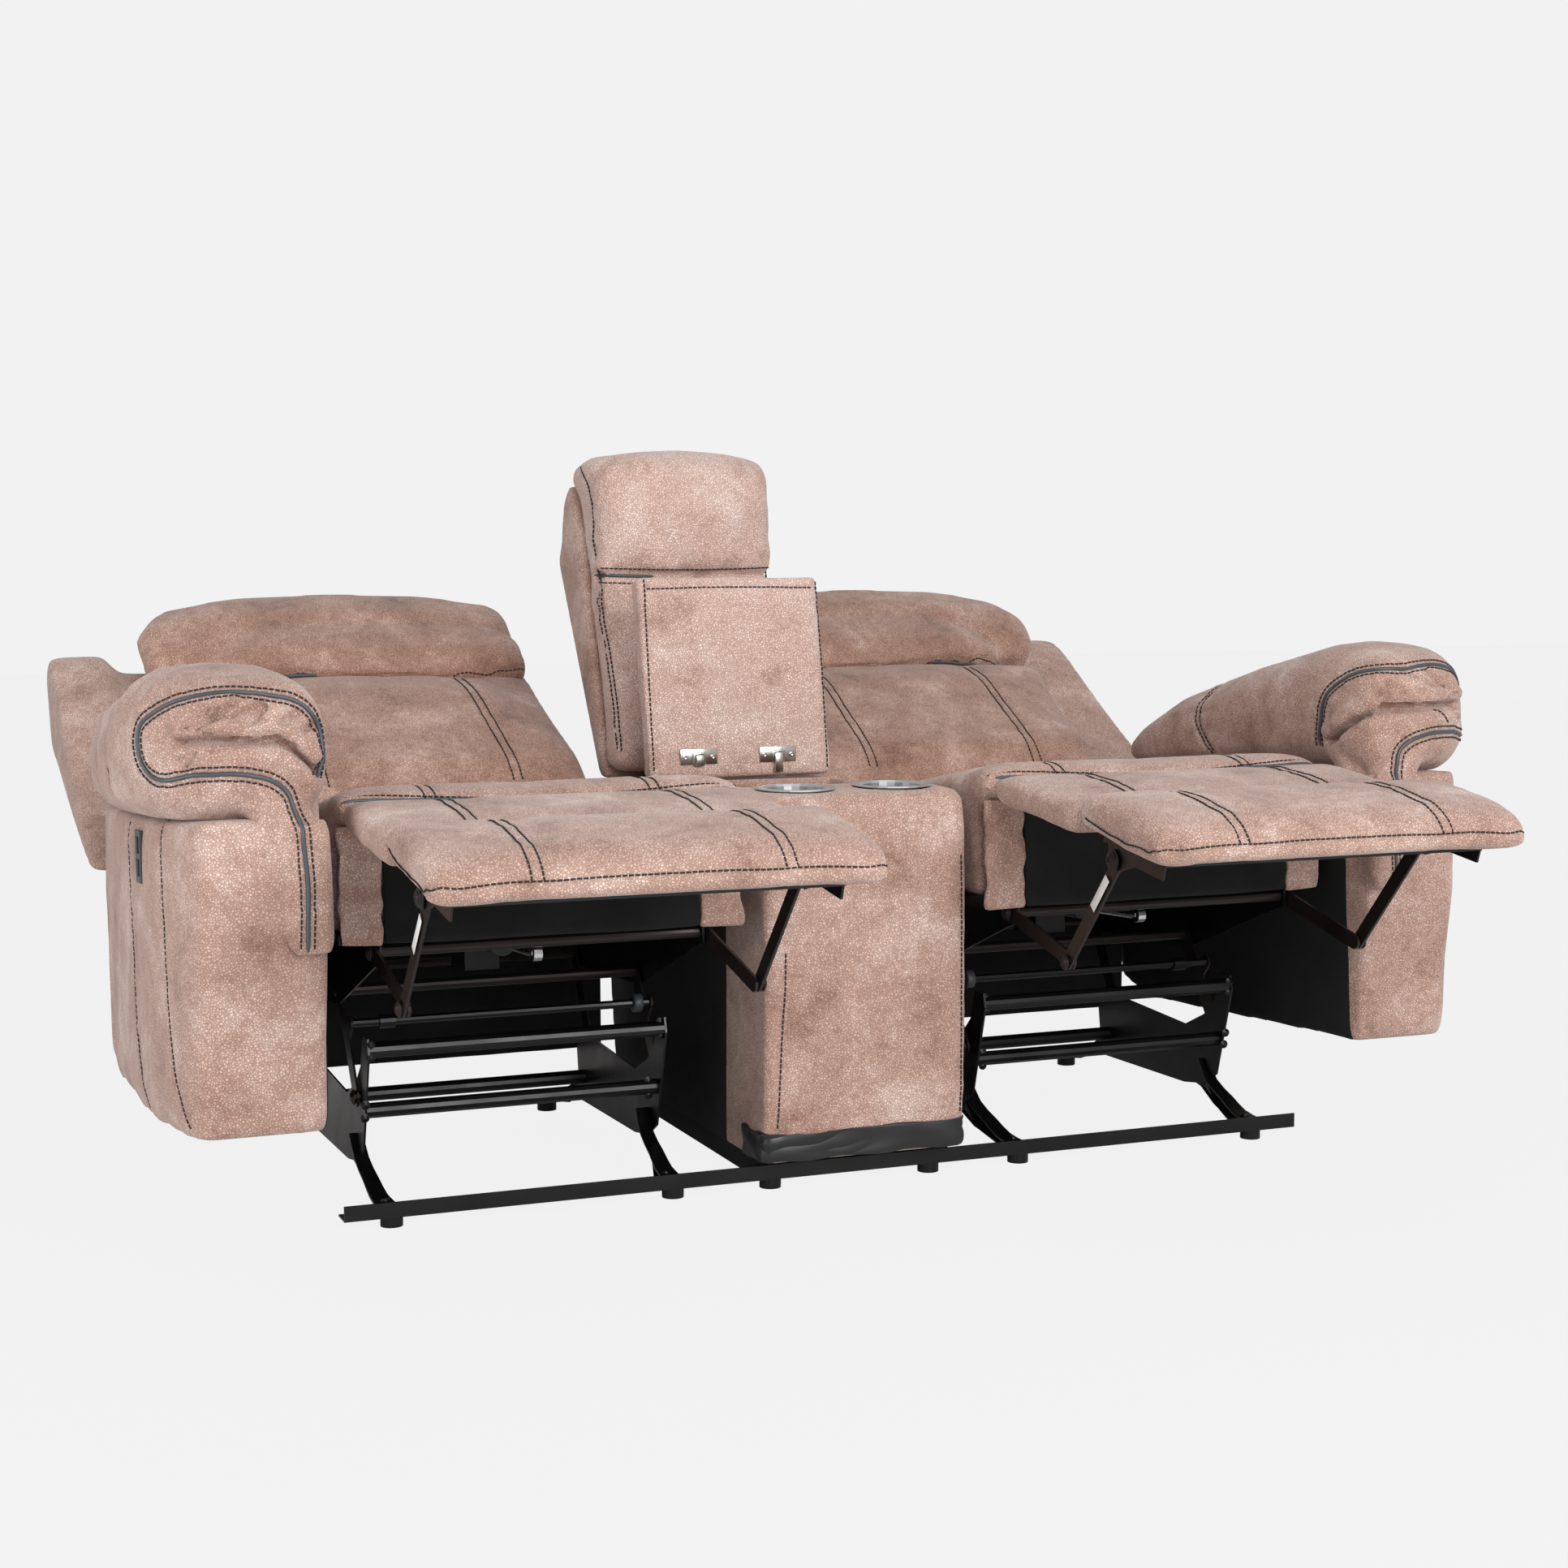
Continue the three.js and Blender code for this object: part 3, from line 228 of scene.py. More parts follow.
# %% Frames of seat, back and console
SEAT_TILT = 3.3
FOOT_PIVOT_ON_SEAT = (0.0722, 0.2245)
BACK_LEAN = 49.8
HINGE_DEPTH = 0.441
tip = Matrix.Rotation(math.radians(-SEAT_TILT), 4, "X")
foot_pivot = Vector(JOINTS["footrest_right"]["pos_m"])
seat_origin = foot_pivot - tip @ Vector((0, *FOOT_PIVOT_ON_SEAT))
seat_origin.x = 0
SEAT = Matrix.Translation(seat_origin) @ tip
SEAT_X = foot_pivot.x
back_pivot = Vector(JOINTS["back_lean_right"]["pos_m"])
BACK = Matrix.Translation((0, back_pivot.y, back_pivot.z)) @ Matrix.Rotation(math.radians(-BACK_LEAN), 4, "X")
FLOOR_Y = Vector(JOINTS["lid"]["pos_m"]).y - HINGE_DEPTH
from_seat, from_back = SEAT.inverted(), BACK.inverted()
IN, OUT, FRONT, AWAY, UP = (-1, 0, 0), (1, 0, 0), (0, -1, 0), (0, 1, 0), (0, 0, 1)
seat_back, seat_up = (SEAT.to_3x3() @ Vector(way) for way in (AWAY, UP))
back_in, back_up = (BACK.to_3x3() @ Vector(way) for way in (AWAY, UP))
print("seat centre", round(SEAT_X, 3), "seat origin", [round(v, 3) for v in seat_origin])


def on_seat(x, y, z):
    return SEAT @ Vector((x * MM, y * MM, z * MM))


def on_back(x, y, z):
    return BACK @ Vector((x * MM, y * MM, z * MM))


def upright(x, y, z):
    return Vector((x * MM, y * MM + FLOOR_Y, z * MM))


def lift_points(piece, inverse, place, rule):
    """Gives points a new height, by a rule in the millimetres of one frame. None leaves a point alone."""
    co = places(piece)
    for i in range(len(co)):
        x, y, z = (inverse @ Vector(co[i])) / MM
        height = rule(x, y, z)
        if height is not None:
            co[i] = place(x, y, height)
    place_all(piece, co)


# %% [markdown]
# Colours were judged from the photo and are written as ordinary screen values.


# %% Helpers for materials
def screen(r, g, b):
    def linear(v):
        v /= 255
        return v / 12.92 if v <= 0.04045 else ((v + 0.055) / 1.055) ** 2.4

    return (linear(r), linear(g), linear(b), 1.0)


def new_material(name):
    material = bpy.data.materials.new(name)
    material.use_nodes = True
    return material, material.node_tree, material.node_tree.nodes["Principled BSDF"]


def node(tree, kind, values=None, **settings):
    made = tree.nodes.new("ShaderNode" + kind)
    for key, value in settings.items():
        setattr(made, key, value)
    for key, value in (values or {}).items():
        made.inputs[key].default_value = value
    return made


def wire(tree, *links):
    """Joins nodes. Each link is a node and its output, then a node and its input."""
    for start, out, end, into in links:
        tree.links.new(start.outputs[out], end.inputs[into])


def new_group(name, inputs, outputs):
    group = bpy.data.node_groups.new(name, "ShaderNodeTree")
    for way, sockets in (("INPUT", inputs), ("OUTPUT", outputs)):
        for label, kind in sockets.items():
            group.interface.new_socket(name=label, in_out=way, socket_type="NodeSocket" + kind)
    return group, group.nodes.new("NodeGroupInput"), group.nodes.new("NodeGroupOutput")


# %% [markdown]
# The cover is a polyester that looks like old suede: small pebbles, with cloudy lighter and darker areas.
# The pebbles are one group and the clouds another, so that each finish can use its own scale.

# %% Pebble group
pebble, entry, leave = new_group("pebble grain", {"Scale": "Float"}, {"Height": "Float", "Crease": "Float"})
where = node(pebble, "TexCoord")
bend = node(pebble, "TexNoise", {"Scale": 90.0, "Detail": 2.0})
shift = node(pebble, "VectorMath", {1: (0.004, 0.004, 0.004)}, operation="MULTIPLY_ADD")
cells = node(pebble, "TexVoronoi", {"Randomness": 1.0}, feature="DISTANCE_TO_EDGE")
ramp = node(pebble, "MapRange", {"From Min": 0.02, "From Max": 0.32}, interpolation_type="SMOOTHSTEP")
fine = node(pebble, "TexNoise", {"Scale": 1500.0, "Detail": 3.0})
sum_up = node(pebble, "Math", {1: 0.25}, operation="MULTIPLY_ADD")
flip = node(pebble, "Math", {0: 1.0}, operation="SUBTRACT")
wire(
    pebble,
    (where, "Object", bend, "Vector"), (bend, "Color", shift, 0), (where, "Object", shift, 2),
    (shift, 0, cells, "Vector"), (entry, "Scale", cells, "Scale"), (cells, "Distance", ramp, "Value"),
    (where, "Object", fine, "Vector"), (fine, "Fac", sum_up, 0), (ramp, "Result", sum_up, 2),
    (sum_up, 0, leave, "Height"), (ramp, "Result", flip, 1), (flip, 0, leave, "Crease"),
)
print("pebble group", len(pebble.nodes), "nodes")

# %% Cloud group
cloud, entry, leave = new_group(
    "cloudy tone", {"Dark": "Color", "Middle": "Color", "Light": "Color"}, {"Color": "Color", "Tone": "Float"}
)
where = node(cloud, "TexCoord")
big = node(cloud, "TexNoise", {"Scale": 9.0, "Detail": 6.0, "Roughness": 0.65, "Distortion": 0.3})
small = node(cloud, "TexNoise", {"Scale": 60.0, "Detail": 8.0, "Roughness": 0.75, "Distortion": 0.4})
both = node(cloud, "Math", {1: 0.45}, operation="MULTIPLY_ADD")
lower = node(cloud, "MapRange", {"From Min": 0.45, "From Max": 0.68})
upper = node(cloud, "MapRange", {"From Min": 0.72, "From Max": 0.98})
first, second = (node(cloud, "Mix", data_type="RGBA") for _ in range(2))
wire(
    cloud,
    (where, "Object", big, "Vector"), (where, "Object", small, "Vector"), (small, "Fac", both, 0),
    (big, "Fac", both, 2), (both, 0, lower, "Value"), (both, 0, upper, "Value"),
    (lower, "Result", first, "Factor"), (entry, "Dark", first, 6), (entry, "Middle", first, 7),
    (upper, "Result", second, "Factor"), (first, 2, second, 6), (entry, "Light", second, 7),
    (second, 2, leave, "Color"), (both, 0, leave, "Tone"),
)
print("cloud group", len(cloud.nodes), "nodes")


# %% Suede finish
def suede(name, dark, middle, light):
    material, tree, shader = new_material(name)
    tones = {"Dark": screen(*dark), "Middle": screen(*middle), "Light": screen(*light)}
    tone = node(tree, "Group", tones, node_tree=cloud)
    grains = node(tree, "Group", {"Scale": 285.0}, node_tree=pebble)
    # Painted shade: the colour is darkened in the crevices between the pebbles.
    crease_shade = node(tree, "Mix", {7: (0.42, 0.35, 0.33, 1)}, data_type="RGBA", blend_type="MULTIPLY")
    half = node(tree, "Math", {1: 0.8}, operation="MULTIPLY")
    rough = node(tree, "MapRange", {"From Min": 0.4, "From Max": 1.0, "To Min": 0.72, "To Max": 0.55})
    bump = node(tree, "Bump", {"Strength": 0.6, "Distance": 0.0012})
    wire(
        tree,
        (grains, "Crease", half, 0), (half, 0, crease_shade, "Factor"), (tone, "Color", crease_shade, 6),
        (crease_shade, 2, shader, "Base Color"), (tone, "Tone", rough, "Value"), (rough, "Result", shader, "Roughness"),
        (grains, "Height", bump, "Height"), (bump, "Normal", shader, "Normal"),
    )
    shader.inputs["Sheen Weight"].default_value = 0.25
    shader.inputs["Sheen Roughness"].default_value = 0.45
    shader.inputs["Specular IOR Level"].default_value = 0.35
    return material


# %% Plain finishes
def plain(name, color, rough, metal=0.0, grain=700.0, depth=0.12, spread=0.12):
    material, tree, shader = new_material(name)
    where = node(tree, "TexCoord")
    speckle = node(tree, "TexNoise", {"Scale": grain, "Detail": 4.0})
    patch = node(tree, "TexNoise", {"Scale": 12.0, "Detail": 5.0})
    span = {"From Min": 0.3, "From Max": 0.7}
    value = node(tree, "MapRange", {**span, "To Min": 1 - spread, "To Max": 1 + spread})
    shade = node(tree, "HueSaturation", {"Color": screen(*color)})
    rougher = node(tree, "MapRange", {**span, "To Min": rough - 0.06, "To Max": rough + 0.1})
    bump = node(tree, "Bump", {"Strength": depth, "Distance": 0.0004})
    wire(
        tree,
        (where, "Object", speckle, "Vector"), (where, "Object", patch, "Vector"), (patch, "Fac", value, "Value"),
        (value, "Result", shade, "Value"), (shade, "Color", shader, "Base Color"), (patch, "Fac", rougher, "Value"),
        (rougher, "Result", shader, "Roughness"), (speckle, "Fac", bump, "Height"), (bump, "Normal", shader, "Normal"),
    )
    shader.inputs["Metallic"].default_value = metal
    return material


# %% Finishes of this sofa
COVER = suede("cover suede", (141, 105, 89), (194, 161, 146), (234, 211, 200))
# A darker copy of the cover, for painted shade on the reclined back pads.
COVER_WITH_PAINTED_SHADE = suede("cover suede with painted shade", (122, 88, 72), (177, 139, 121), (222, 190, 175))
# A paler copy of the cover, for painted light on the lid and the middle back.
COVER_WITH_PAINTED_LIGHT = suede("cover suede with painted light", (180, 146, 131), (226, 197, 184), (247, 229, 220))
BLACK_CLOTH = plain("black lining", (9, 9, 10), 0.95, grain=1400.0, depth=0.5)
BLACK_PAINT = plain("satin black paint", (11, 11, 13), 0.32, metal=0.3, grain=300.0, depth=0.06)
LINK_STEEL = plain("brown black plated steel", (38, 32, 30), 0.34, metal=0.6, grain=240.0, depth=0.08)
BRIGHT_STEEL = plain("brushed steel", (196, 197, 198), 0.26, metal=1.0, grain=900.0, depth=0.05, spread=0.05)
NICKEL = plain("nickel plate", (206, 203, 197), 0.2, metal=1.0, grain=600.0, depth=0.03, spread=0.04)
PIPING = plain("slate piping", (62, 68, 74), 0.42, grain=900.0, depth=0.15)
THREAD = plain("dark thread", (30, 27, 28), 0.8, grain=2400.0, depth=0.4)
WHITE_STRIP = plain("white strip", (226, 226, 224), 0.5, spread=0.03)
KICK_VINYL = plain("black kick vinyl", (24, 24, 25), 0.42, grain=500.0, depth=0.3)
GREY_PLASTIC = plain("dark grey plastic", (58, 62, 68), 0.45)
BLACK_PLASTIC = plain("black plastic", (20, 20, 21), 0.5)


def dress(item, finish):
    item.data.materials.clear()
    item.data.materials.append(finish)
    return item


SLOTS = {
    "brown": (COVER, COVER_WITH_PAINTED_SHADE, COVER_WITH_PAINTED_LIGHT),
    "black_cloth": (BLACK_CLOTH, THREAD),
    "black_steel": (BLACK_PAINT,),
    "link_steel": (LINK_STEEL,),
    "bright_steel": (BRIGHT_STEEL, NICKEL),
    "grey_plastic": (GREY_PLASTIC, PIPING, WHITE_STRIP),
    "black_plastic": (BLACK_PLASTIC, KICK_VINYL),
}
for entry in frame["record"]["subparts"]:
    dress(frame["nodes"][entry["node"]], SLOTS[entry["material_slot"]][0])
print("finishes", len(bpy.data.materials))

# %% [markdown]
# Each cushion starts from its plain solid. A voxel remesh gives it even faces, and a short cloth
# simulation blows it up like a filled cover, with a cap on how far a point may move.

# %% Helpers for soft pieces
PRESSURE = 4.0
SIM_FRAMES = 20


def copy_of(source_name, name):
    piece = duplicate(frame["nodes"][source_name], name)
    piece.parent = None
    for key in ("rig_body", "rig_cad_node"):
        if key in piece:
            del piece[key]
    piece.hide_render = False
    edit(piece, "SELECT")
    bpy.ops.mesh.remove_doubles(threshold=0.00001)
    done()
    return piece


def remesh(piece, voxel):
    return modify(piece, "REMESH", mode="VOXEL", voxel_size=voxel)


def relax(piece, rounds):
    return modify(piece, "SMOOTH", factor=0.5, iterations=rounds)


def refine(piece, levels=1):
    return modify(piece, "SUBSURF", levels=levels, render_levels=levels)


def swell(piece, cap):
    """Blows a piece up with a cloth simulation, no point further than the cap."""
    if cap <= 0:
        return
    start = places(piece)
    scene = bpy.context.scene
    modifier = piece.modifiers.new("cloth", "CLOTH")
    settings = modifier.settings
    settings.quality = 4
    settings.use_pressure = True
    settings.uniform_pressure_force = PRESSURE
    settings.effector_weights.gravity = 0
    settings.tension_stiffness = settings.compression_stiffness = 12
    settings.bending_stiffness = 0.6
    modifier.point_cache.frame_start = 1
    modifier.point_cache.frame_end = SIM_FRAMES
    for number in range(1, SIM_FRAMES + 1):
        scene.frame_set(number)
    move = places(piece.evaluated_get(bpy.context.evaluated_depsgraph_get())) - start
    piece.modifiers.remove(modifier)
    scene.frame_set(1)
    move *= np.minimum(1, cap / np.maximum(np.linalg.norm(move, axis=1, keepdims=True), 1e-9))
    place_all(piece, start + move)


def soften(node_name, name, voxel=0.011, cap=0.0, rounds=6, levels=1, shape=None, finish=COVER):
    piece = copy_of(node_name, name)
    if shape:
        shape(piece)
    remesh(piece, voxel)
    relax(piece, rounds)
    swell(piece, cap)
    relax(piece, 2)
    if levels:
        refine(piece, levels)
    print(name, len(piece.data.vertices), "points")
    return dress(piece, finish)


# %% [markdown]
# Seams are pressed into the finished cover. A path is found by sending rays at the piece,
# the skin near it is drawn in, and small puckers cross it where the thread pulls.


# %% Helpers for seams
def skin(piece):
    polys = [tuple(p.vertices) for p in piece.data.polygons]
    return BVHTree.FromPolygons([Vector(c) for c in places(piece)], polys)


def traced(tree, points, direction):
    """Sends a ray at the skin through each point, and gives places and normals."""
    direction = Vector(direction).normalized()
    hits = [tree.ray_cast(Vector(p) - direction / 2, direction, 1.0)[:2] for p in points]
    return [hit for hit in hits if hit[0] is not None]


def near(tree, points):
    """Finds the skin beside each point, and gives places and normals."""
    return [tree.find_nearest(Vector(p))[:2] for p in points]


def curve_through(points, count):
    pts = [Vector(p) for p in points]
    pts = [pts[0] * 2 - pts[1]] + pts + [pts[-1] * 2 - pts[-2]]
    out = []
    spans = len(pts) - 3
    for i in range(count):
        t = i / (count - 1) * spans
        k = min(int(t), spans - 1)
        u = t - k
        a, b, c, d = pts[k : k + 4]
        out.append(
            0.5 * (2 * b + (c - a) * u + (2 * a - 5 * b + 4 * c - d) * u * u + (3 * b - a - 3 * c + d) * u**3)
        )
    return out


def seat_curve(points, count):
    return curve_through([on_seat(*p) for p in points], count)


def even(path, pitch):
    """Lays the points of a path at an even pitch."""
    points = [p for p, _ in path]
    lengths = [0.0]
    for a, b in zip(points, points[1:]):
        lengths.append(lengths[-1] + (b - a).length)
    count = max(2, int(lengths[-1] / pitch))
    out = []
    k = 0
    for i in range(count + 1):
        at = lengths[-1] * i / count
        while k + 2 < len(lengths) and lengths[k + 1] < at:
            k += 1
        u = (at - lengths[k]) / max(1e-9, lengths[k + 1] - lengths[k])
        out.append((points[k].lerp(points[k + 1], u), path[k][1].lerp(path[k + 1][1], u).normalized()))
    return out


def calm(path, rounds=6):
    """Evens out the small wobble of a path that was found on a voxel skin."""
    points = [Vector(p) for p, _ in path]
    for _ in range(rounds):
        inner = [(a + 2 * b + c) / 4 for a, b, c in zip(points, points[1:], points[2:])]
        points = [points[0], *inner, points[-1]]
    return [(p, n) for p, (_, n) in zip(points, path)]


def press(piece, path, depth, width, pucker=0.0, pitch=0.016, spread=0.022, seed=0):
    """Draws the skin in along a path. A negative depth raises it, and puckers run along the path."""
    path = even(path, 0.003)
    tree = KDTree(len(path))
    for i, (point, _) in enumerate(path):
        tree.insert(point, i)
    tree.balance()
    co, no = places(piece), normals(piece)
    reach = max(width * 2.6, spread * 2.2 if pucker else 0)
    spots = np.array([tuple(p) for p, _ in path])
    inside = np.all((co > spots.min(0) - reach) & (co < spots.max(0) + reach), axis=1)
    for i in np.nonzero(inside)[0]:
        _, k, far = tree.find(Vector(co[i]))
        if far > reach:
            continue
        sink = depth * math.exp(-((far / width) ** 2))
        if pucker:
            wave = noise.noise(Vector((k * 0.003 / pitch, seed * 7.3, far / 0.03)))
            sink += pucker * wave * math.exp(-((far / spread) ** 2)) * min(1, far / width)
        co[i] -= no[i] * sink
    place_all(piece, co)


def sewn(piece, guide, way=None, rounds=0, **how):
    """Presses a guide into a piece, and gives its path on the skin after that."""

    def found():
        return calm(traced(skin(piece), guide, way) if way else near(skin(piece), guide), rounds)

    press(piece, found(), **how)
    return found()


def folds(piece, size, height, seed=0, stretch=(1, 1, 1), where=None):
    """Lifts and sinks the skin in soft folds. The optional rule weighs them by place."""
    co, no = places(piece), normals(piece)
    s = np.array(stretch) / size
    for i in range(len(co)):
        much = 1.0 if where is None else where(co[i])
        if much > 0:
            wave = noise.noise(Vector(co[i] * s) + Vector((seed * 3.1, seed * 1.7, 0)))
            co[i] += no[i] * height * wave * much
    place_all(piece, co)


# %% [markdown]
# A cord is a curve with a round bevel, so its thickness is one number. A seam's thread is one small
# stitch, repeated by an array that follows a curve. Both become meshes at the end.


# %% Cords and threads
def offset_path(path, offset, lift):
    """Moves a path sideways along the skin and off it."""
    out = []
    for i, (point, normal) in enumerate(path):
        run = path[min(len(path) - 1, i + 1)][0] - path[max(0, i - 1)][0]
        side = run.cross(normal).normalized()
        out.append(point + side * offset + normal * lift)
    return out


def cord_curve(name, points, radius=0.0, widths=None):
    data = bpy.data.curves.new(name, "CURVE")
    data.dimensions = "3D"
    data.bevel_depth = radius
    data.bevel_resolution = 2
    data.use_fill_caps = True
    spline = data.splines.new("POLY")
    spline.points.add(len(points) - 1)
    for k, point in enumerate(points):
        spline.points[k].co = (*point, 1)
        spline.points[k].radius = widths[k] if widths else 1.0
    return add_object(name, data)


def to_mesh(item):
    pick(item)
    bpy.ops.object.convert(target="MESH")
    item = bpy.context.active_object
    edit(item, "SELECT")
    bpy.ops.mesh.remove_doubles(threshold=0.00001)
    bpy.ops.mesh.normals_make_consistent(inside=False)
    done()
    return item


def tube(name, path, radius, lift):
    """Lays a round slate cord along a path on the skin, with drawn-in ends."""
    points = offset_path(even(path, 0.005), 0.0, lift)
    last = len(points) - 1
    widths = [(0.35, 0.8)[min(i, last - i)] if min(i, last - i) < 2 else 1.0 for i in range(len(points))]
    return smooth(dress(to_mesh(cord_curve(name, points, radius, widths)), PIPING), 60)


# %% One stitch
deselect()
bpy.ops.mesh.primitive_cylinder_add(vertices=6, radius=0.0013, depth=0.0048, rotation=(0, math.pi / 2, 0))
STITCH = apply_place(bpy.context.active_object)
select_faces(STITCH, lambda c, n: abs(n.x) > 0.9)
bpy.ops.mesh.inset(thickness=0.0004, depth=0.0006)
bpy.ops.mesh.select_all(action="SELECT")
bpy.ops.transform.translate(value=(0.0029, 0, 0))
done()
STITCH_PITCH = 0.0078
print("one stitch has", len(STITCH.data.polygons), "faces")


def thread(name, paths, offset=0.0, lift=0.0006):
    rows = []
    for path in paths:
        points = offset_path(even(path, 0.004), offset, lift)
        guide = cord_curve("guide", points)
        length = sum((b - a).length for a, b in zip(points, points[1:]))
        row = duplicate(STITCH, name)
        count = max(1, int(length / STITCH_PITCH))
        gap = {"use_constant_offset": True, "constant_offset_displace": (STITCH_PITCH, 0, 0)}
        modify(row, "ARRAY", count=count, use_relative_offset=False, **gap)
        modify(row, "CURVE", object=guide)
        bpy.data.objects.remove(guide)
        rows.append(row)
    return dress(join(rows, name), THREAD)


# %% [markdown]
# Most pieces are modelled once, on the right, and mirrored to the left when everything is done.

# %% Keeping pieces
BOTH = ("left", "right")
MIDDLE = ("",)
KEPT = []


def keep(item, body, replaced=(), fill=None, sides=BOTH):
    """Notes a piece: its body, the nodes that it replaces, how full it is (not used), and its sides."""
    KEPT.append((item, body, replaced, fill, sides))


def sew(name, body, paths, sides=BOTH):
    keep(thread(name, paths), body, sides=sides)

# %% [markdown]
# Seat, chaise and footrest share two sewn channels that run from the back to the toe.
# A double row of dark thread lies on each side of every channel.

# %% Channels
PAD_INNER, PAD_OUTER = 178, 756
CHANNELS = [PAD_INNER + s * (PAD_OUTER - PAD_INNER) for s in (0.23, 0.77)]
THREAD_GAP = 7.2
CHANNEL_STEPS = 59
print("channels at", CHANNELS)


def channel_rows(piece, ends, direction):
    """Presses both rows of each channel into a piece and returns their paths."""
    guides = []
    for x in CHANNELS:
        for shift in (-THREAD_GAP, THREAD_GAP):
            a, b = ends(x + shift)
            guides.append([a.lerp(b, i / CHANNEL_STEPS) for i in range(CHANNEL_STEPS + 1)])
    for number, guide in enumerate(guides):
        press(piece, traced(skin(piece), guide, direction), depth=0.0034, width=0.0048, pucker=0.0016, seed=number)
    finished = skin(piece)
    return [traced(finished, guide, direction) for guide in guides]


# %% [markdown]
# The seat cushion falls from its front cord to the back. Its crown is pressed down before the
# filling is blown in. A slate cord and a row of thread run along the front edge.

# %% Seat cushion
CORD_Y, CORD_Z = 44, 437
FALL = 0.125
CROWN_KEPT = 0.12


def fall(piece):
    def height(x, y, z):
        top = CORD_Z - FALL * (y - CORD_Y)
        return top + CROWN_KEPT * (z - top) if y > CORD_Y and z > top else None

    lift_points(piece, from_seat, on_seat, height)


seat = soften("seat_cushion_right", "seat_cover_right", cap=0.009, shape=fall)
edge = seat_curve([(184, 44, 434), (320, 37, 434), (470, 33, 434), (620, 38, 435), (750, 48, 438)], 60)
found = skin(seat)
cord_path, beside = (
    calm(traced(found, [p + seat_back * behind for p in edge], -seat_up), 12) for behind in (0, 0.008)
)
rows = channel_rows(seat, lambda x: (on_seat(x, 47, 450), on_seat(x, 600, 450)), -seat_up)
keep(seat, "seat", ["seat_cushion"], 0.7)
sew("seat_thread_right", "seat", rows + [beside])
keep(tube("seat_piping_right", cord_path, 0.0028, 0.0008), "seat")

# %% Chaise pad
THIN_PAD = {"voxel": 0.0065, "cap": 0.005, "rounds": 4, "levels": 0}
chaise = soften("chaise_pad_right", "chaise_cover_right", **THIN_PAD)
rows = channel_rows(chaise, lambda x: (on_seat(x, 16, 450), on_seat(x, -222, 420)), -seat_up)
keep(chaise, "chaise", ["chaise_pad"], 0.7)
sew("chaise_thread_right", "chaise", rows)

# %% [markdown]
# The footrest pad has a narrow boxing strip under its top panel. The seam between them runs
# 16 mm above the bottom edge, along the front and both sides.

# %% Footrest pad
BOXING = 16
foot = soften("footrest_pad_right", "footrest_cover_right", **THIN_PAD)
found = skin(foot)
lows = {}
for y in (-250, -300, -350, -400, -430):
    hit = found.ray_cast(on_seat(470, y, 200), seat_up)[0]
    lows[y] = (from_seat @ hit).z / MM + BOXING
print("boxing seam heights", {k: round(v, 1) for k, v in lows.items()})
outer_side = [(760, y, z) for y, z in lows.items()]
inner_side = [(174, y, z) for y, z in lows.items()]
toe = [(748, -448, 346), *((x, -456, 347) for x in (700, 600, 470, 340, 240)), (188, -448, 346)]
around = seat_curve(outer_side + toe + inner_side[::-1], 150)
seam = sewn(foot, around, rounds=6, depth=0.0025, width=0.004)
rows = channel_rows(foot, lambda x: (on_seat(x, -226, 450), on_seat(x, -446, 380)), -seat_up)
keep(foot, "foot", ["footrest_pad"], 0.7)
sew("footrest_thread_right", "foot", rows + [seam])

# %% [markdown]
# Under the chaise the seat front is black lining, held between two gathered ends of the cover.
# One plain panel is cut by planes into three, and each part is remeshed on its own.


# %% Seat front
def part_of_front(name, low, high, finish):
    piece = copy_of("seat_front_right", name)
    for x, way in ((low, IN), (high, OUT)):
        if x:
            cut_away(piece, (x * MM, 0, 0), way, fill=True)
    remesh(piece, 0.0045)
    relax(piece, 2)
    return dress(piece, finish)


front_ends = [part_of_front("front_end_a", 690, None, COVER), part_of_front("front_end_b", None, 250, COVER)]
for number, end in enumerate(front_ends):
    folds(end, 0.05, 0.006, seed=number, stretch=(0.35, 1, 2.2))
    relax(end, 1)
keep(join(front_ends, "front_ends_right"), "seat", ["seat_front"], 0.5)
front_lining = part_of_front("front_lining_right", 250.3, 689.7, BLACK_CLOTH)
folds(front_lining, 0.12, 0.004, seed=9, stretch=(0.6, 1, 1.5))
keep(front_lining, "seat", [], 0.3)
print("front ends", len(front_ends))

# %% [markdown]
# The arm is a padded box with a fat pillow on top. The pillow's front end curls down the inner
# front corner as one roll. The roll starts as a curve whose bevel grows and shrinks point by point,
# and a voxel remesh fuses it with the pillow, as the maker's filling would.

# %% Arm box
arm = soften("arm_body_right", "arm_cover_right", voxel=0.0085, cap=0.003, rounds=3)
SIDE_SEAMS = [
    (5, (0,), [(100, 405), (91, 340), (87, 280), (83, 224), (66, 100), (40, 40), (30, 12)]),
    (6, (-6, 6), [(330, 395), (317, 326), (301, 264), (296, 205), (285, 120), (250, 40), (232, 10)]),
    (4, (0,), [(697, 302), (680, 233), (669, 168), (640, 80), (610, 28)]),
]
arm_rows = []
for seed, gaps, points in SIDE_SEAMS:
    for gap in gaps:
        guide = seat_curve([(1100, y + gap, z) for y, z in points], 70)
        arm_rows.append(sewn(arm, guide, IN, depth=0.003, width=0.0048, pucker=0.001, seed=seed))
print("arm seams", len(arm_rows))

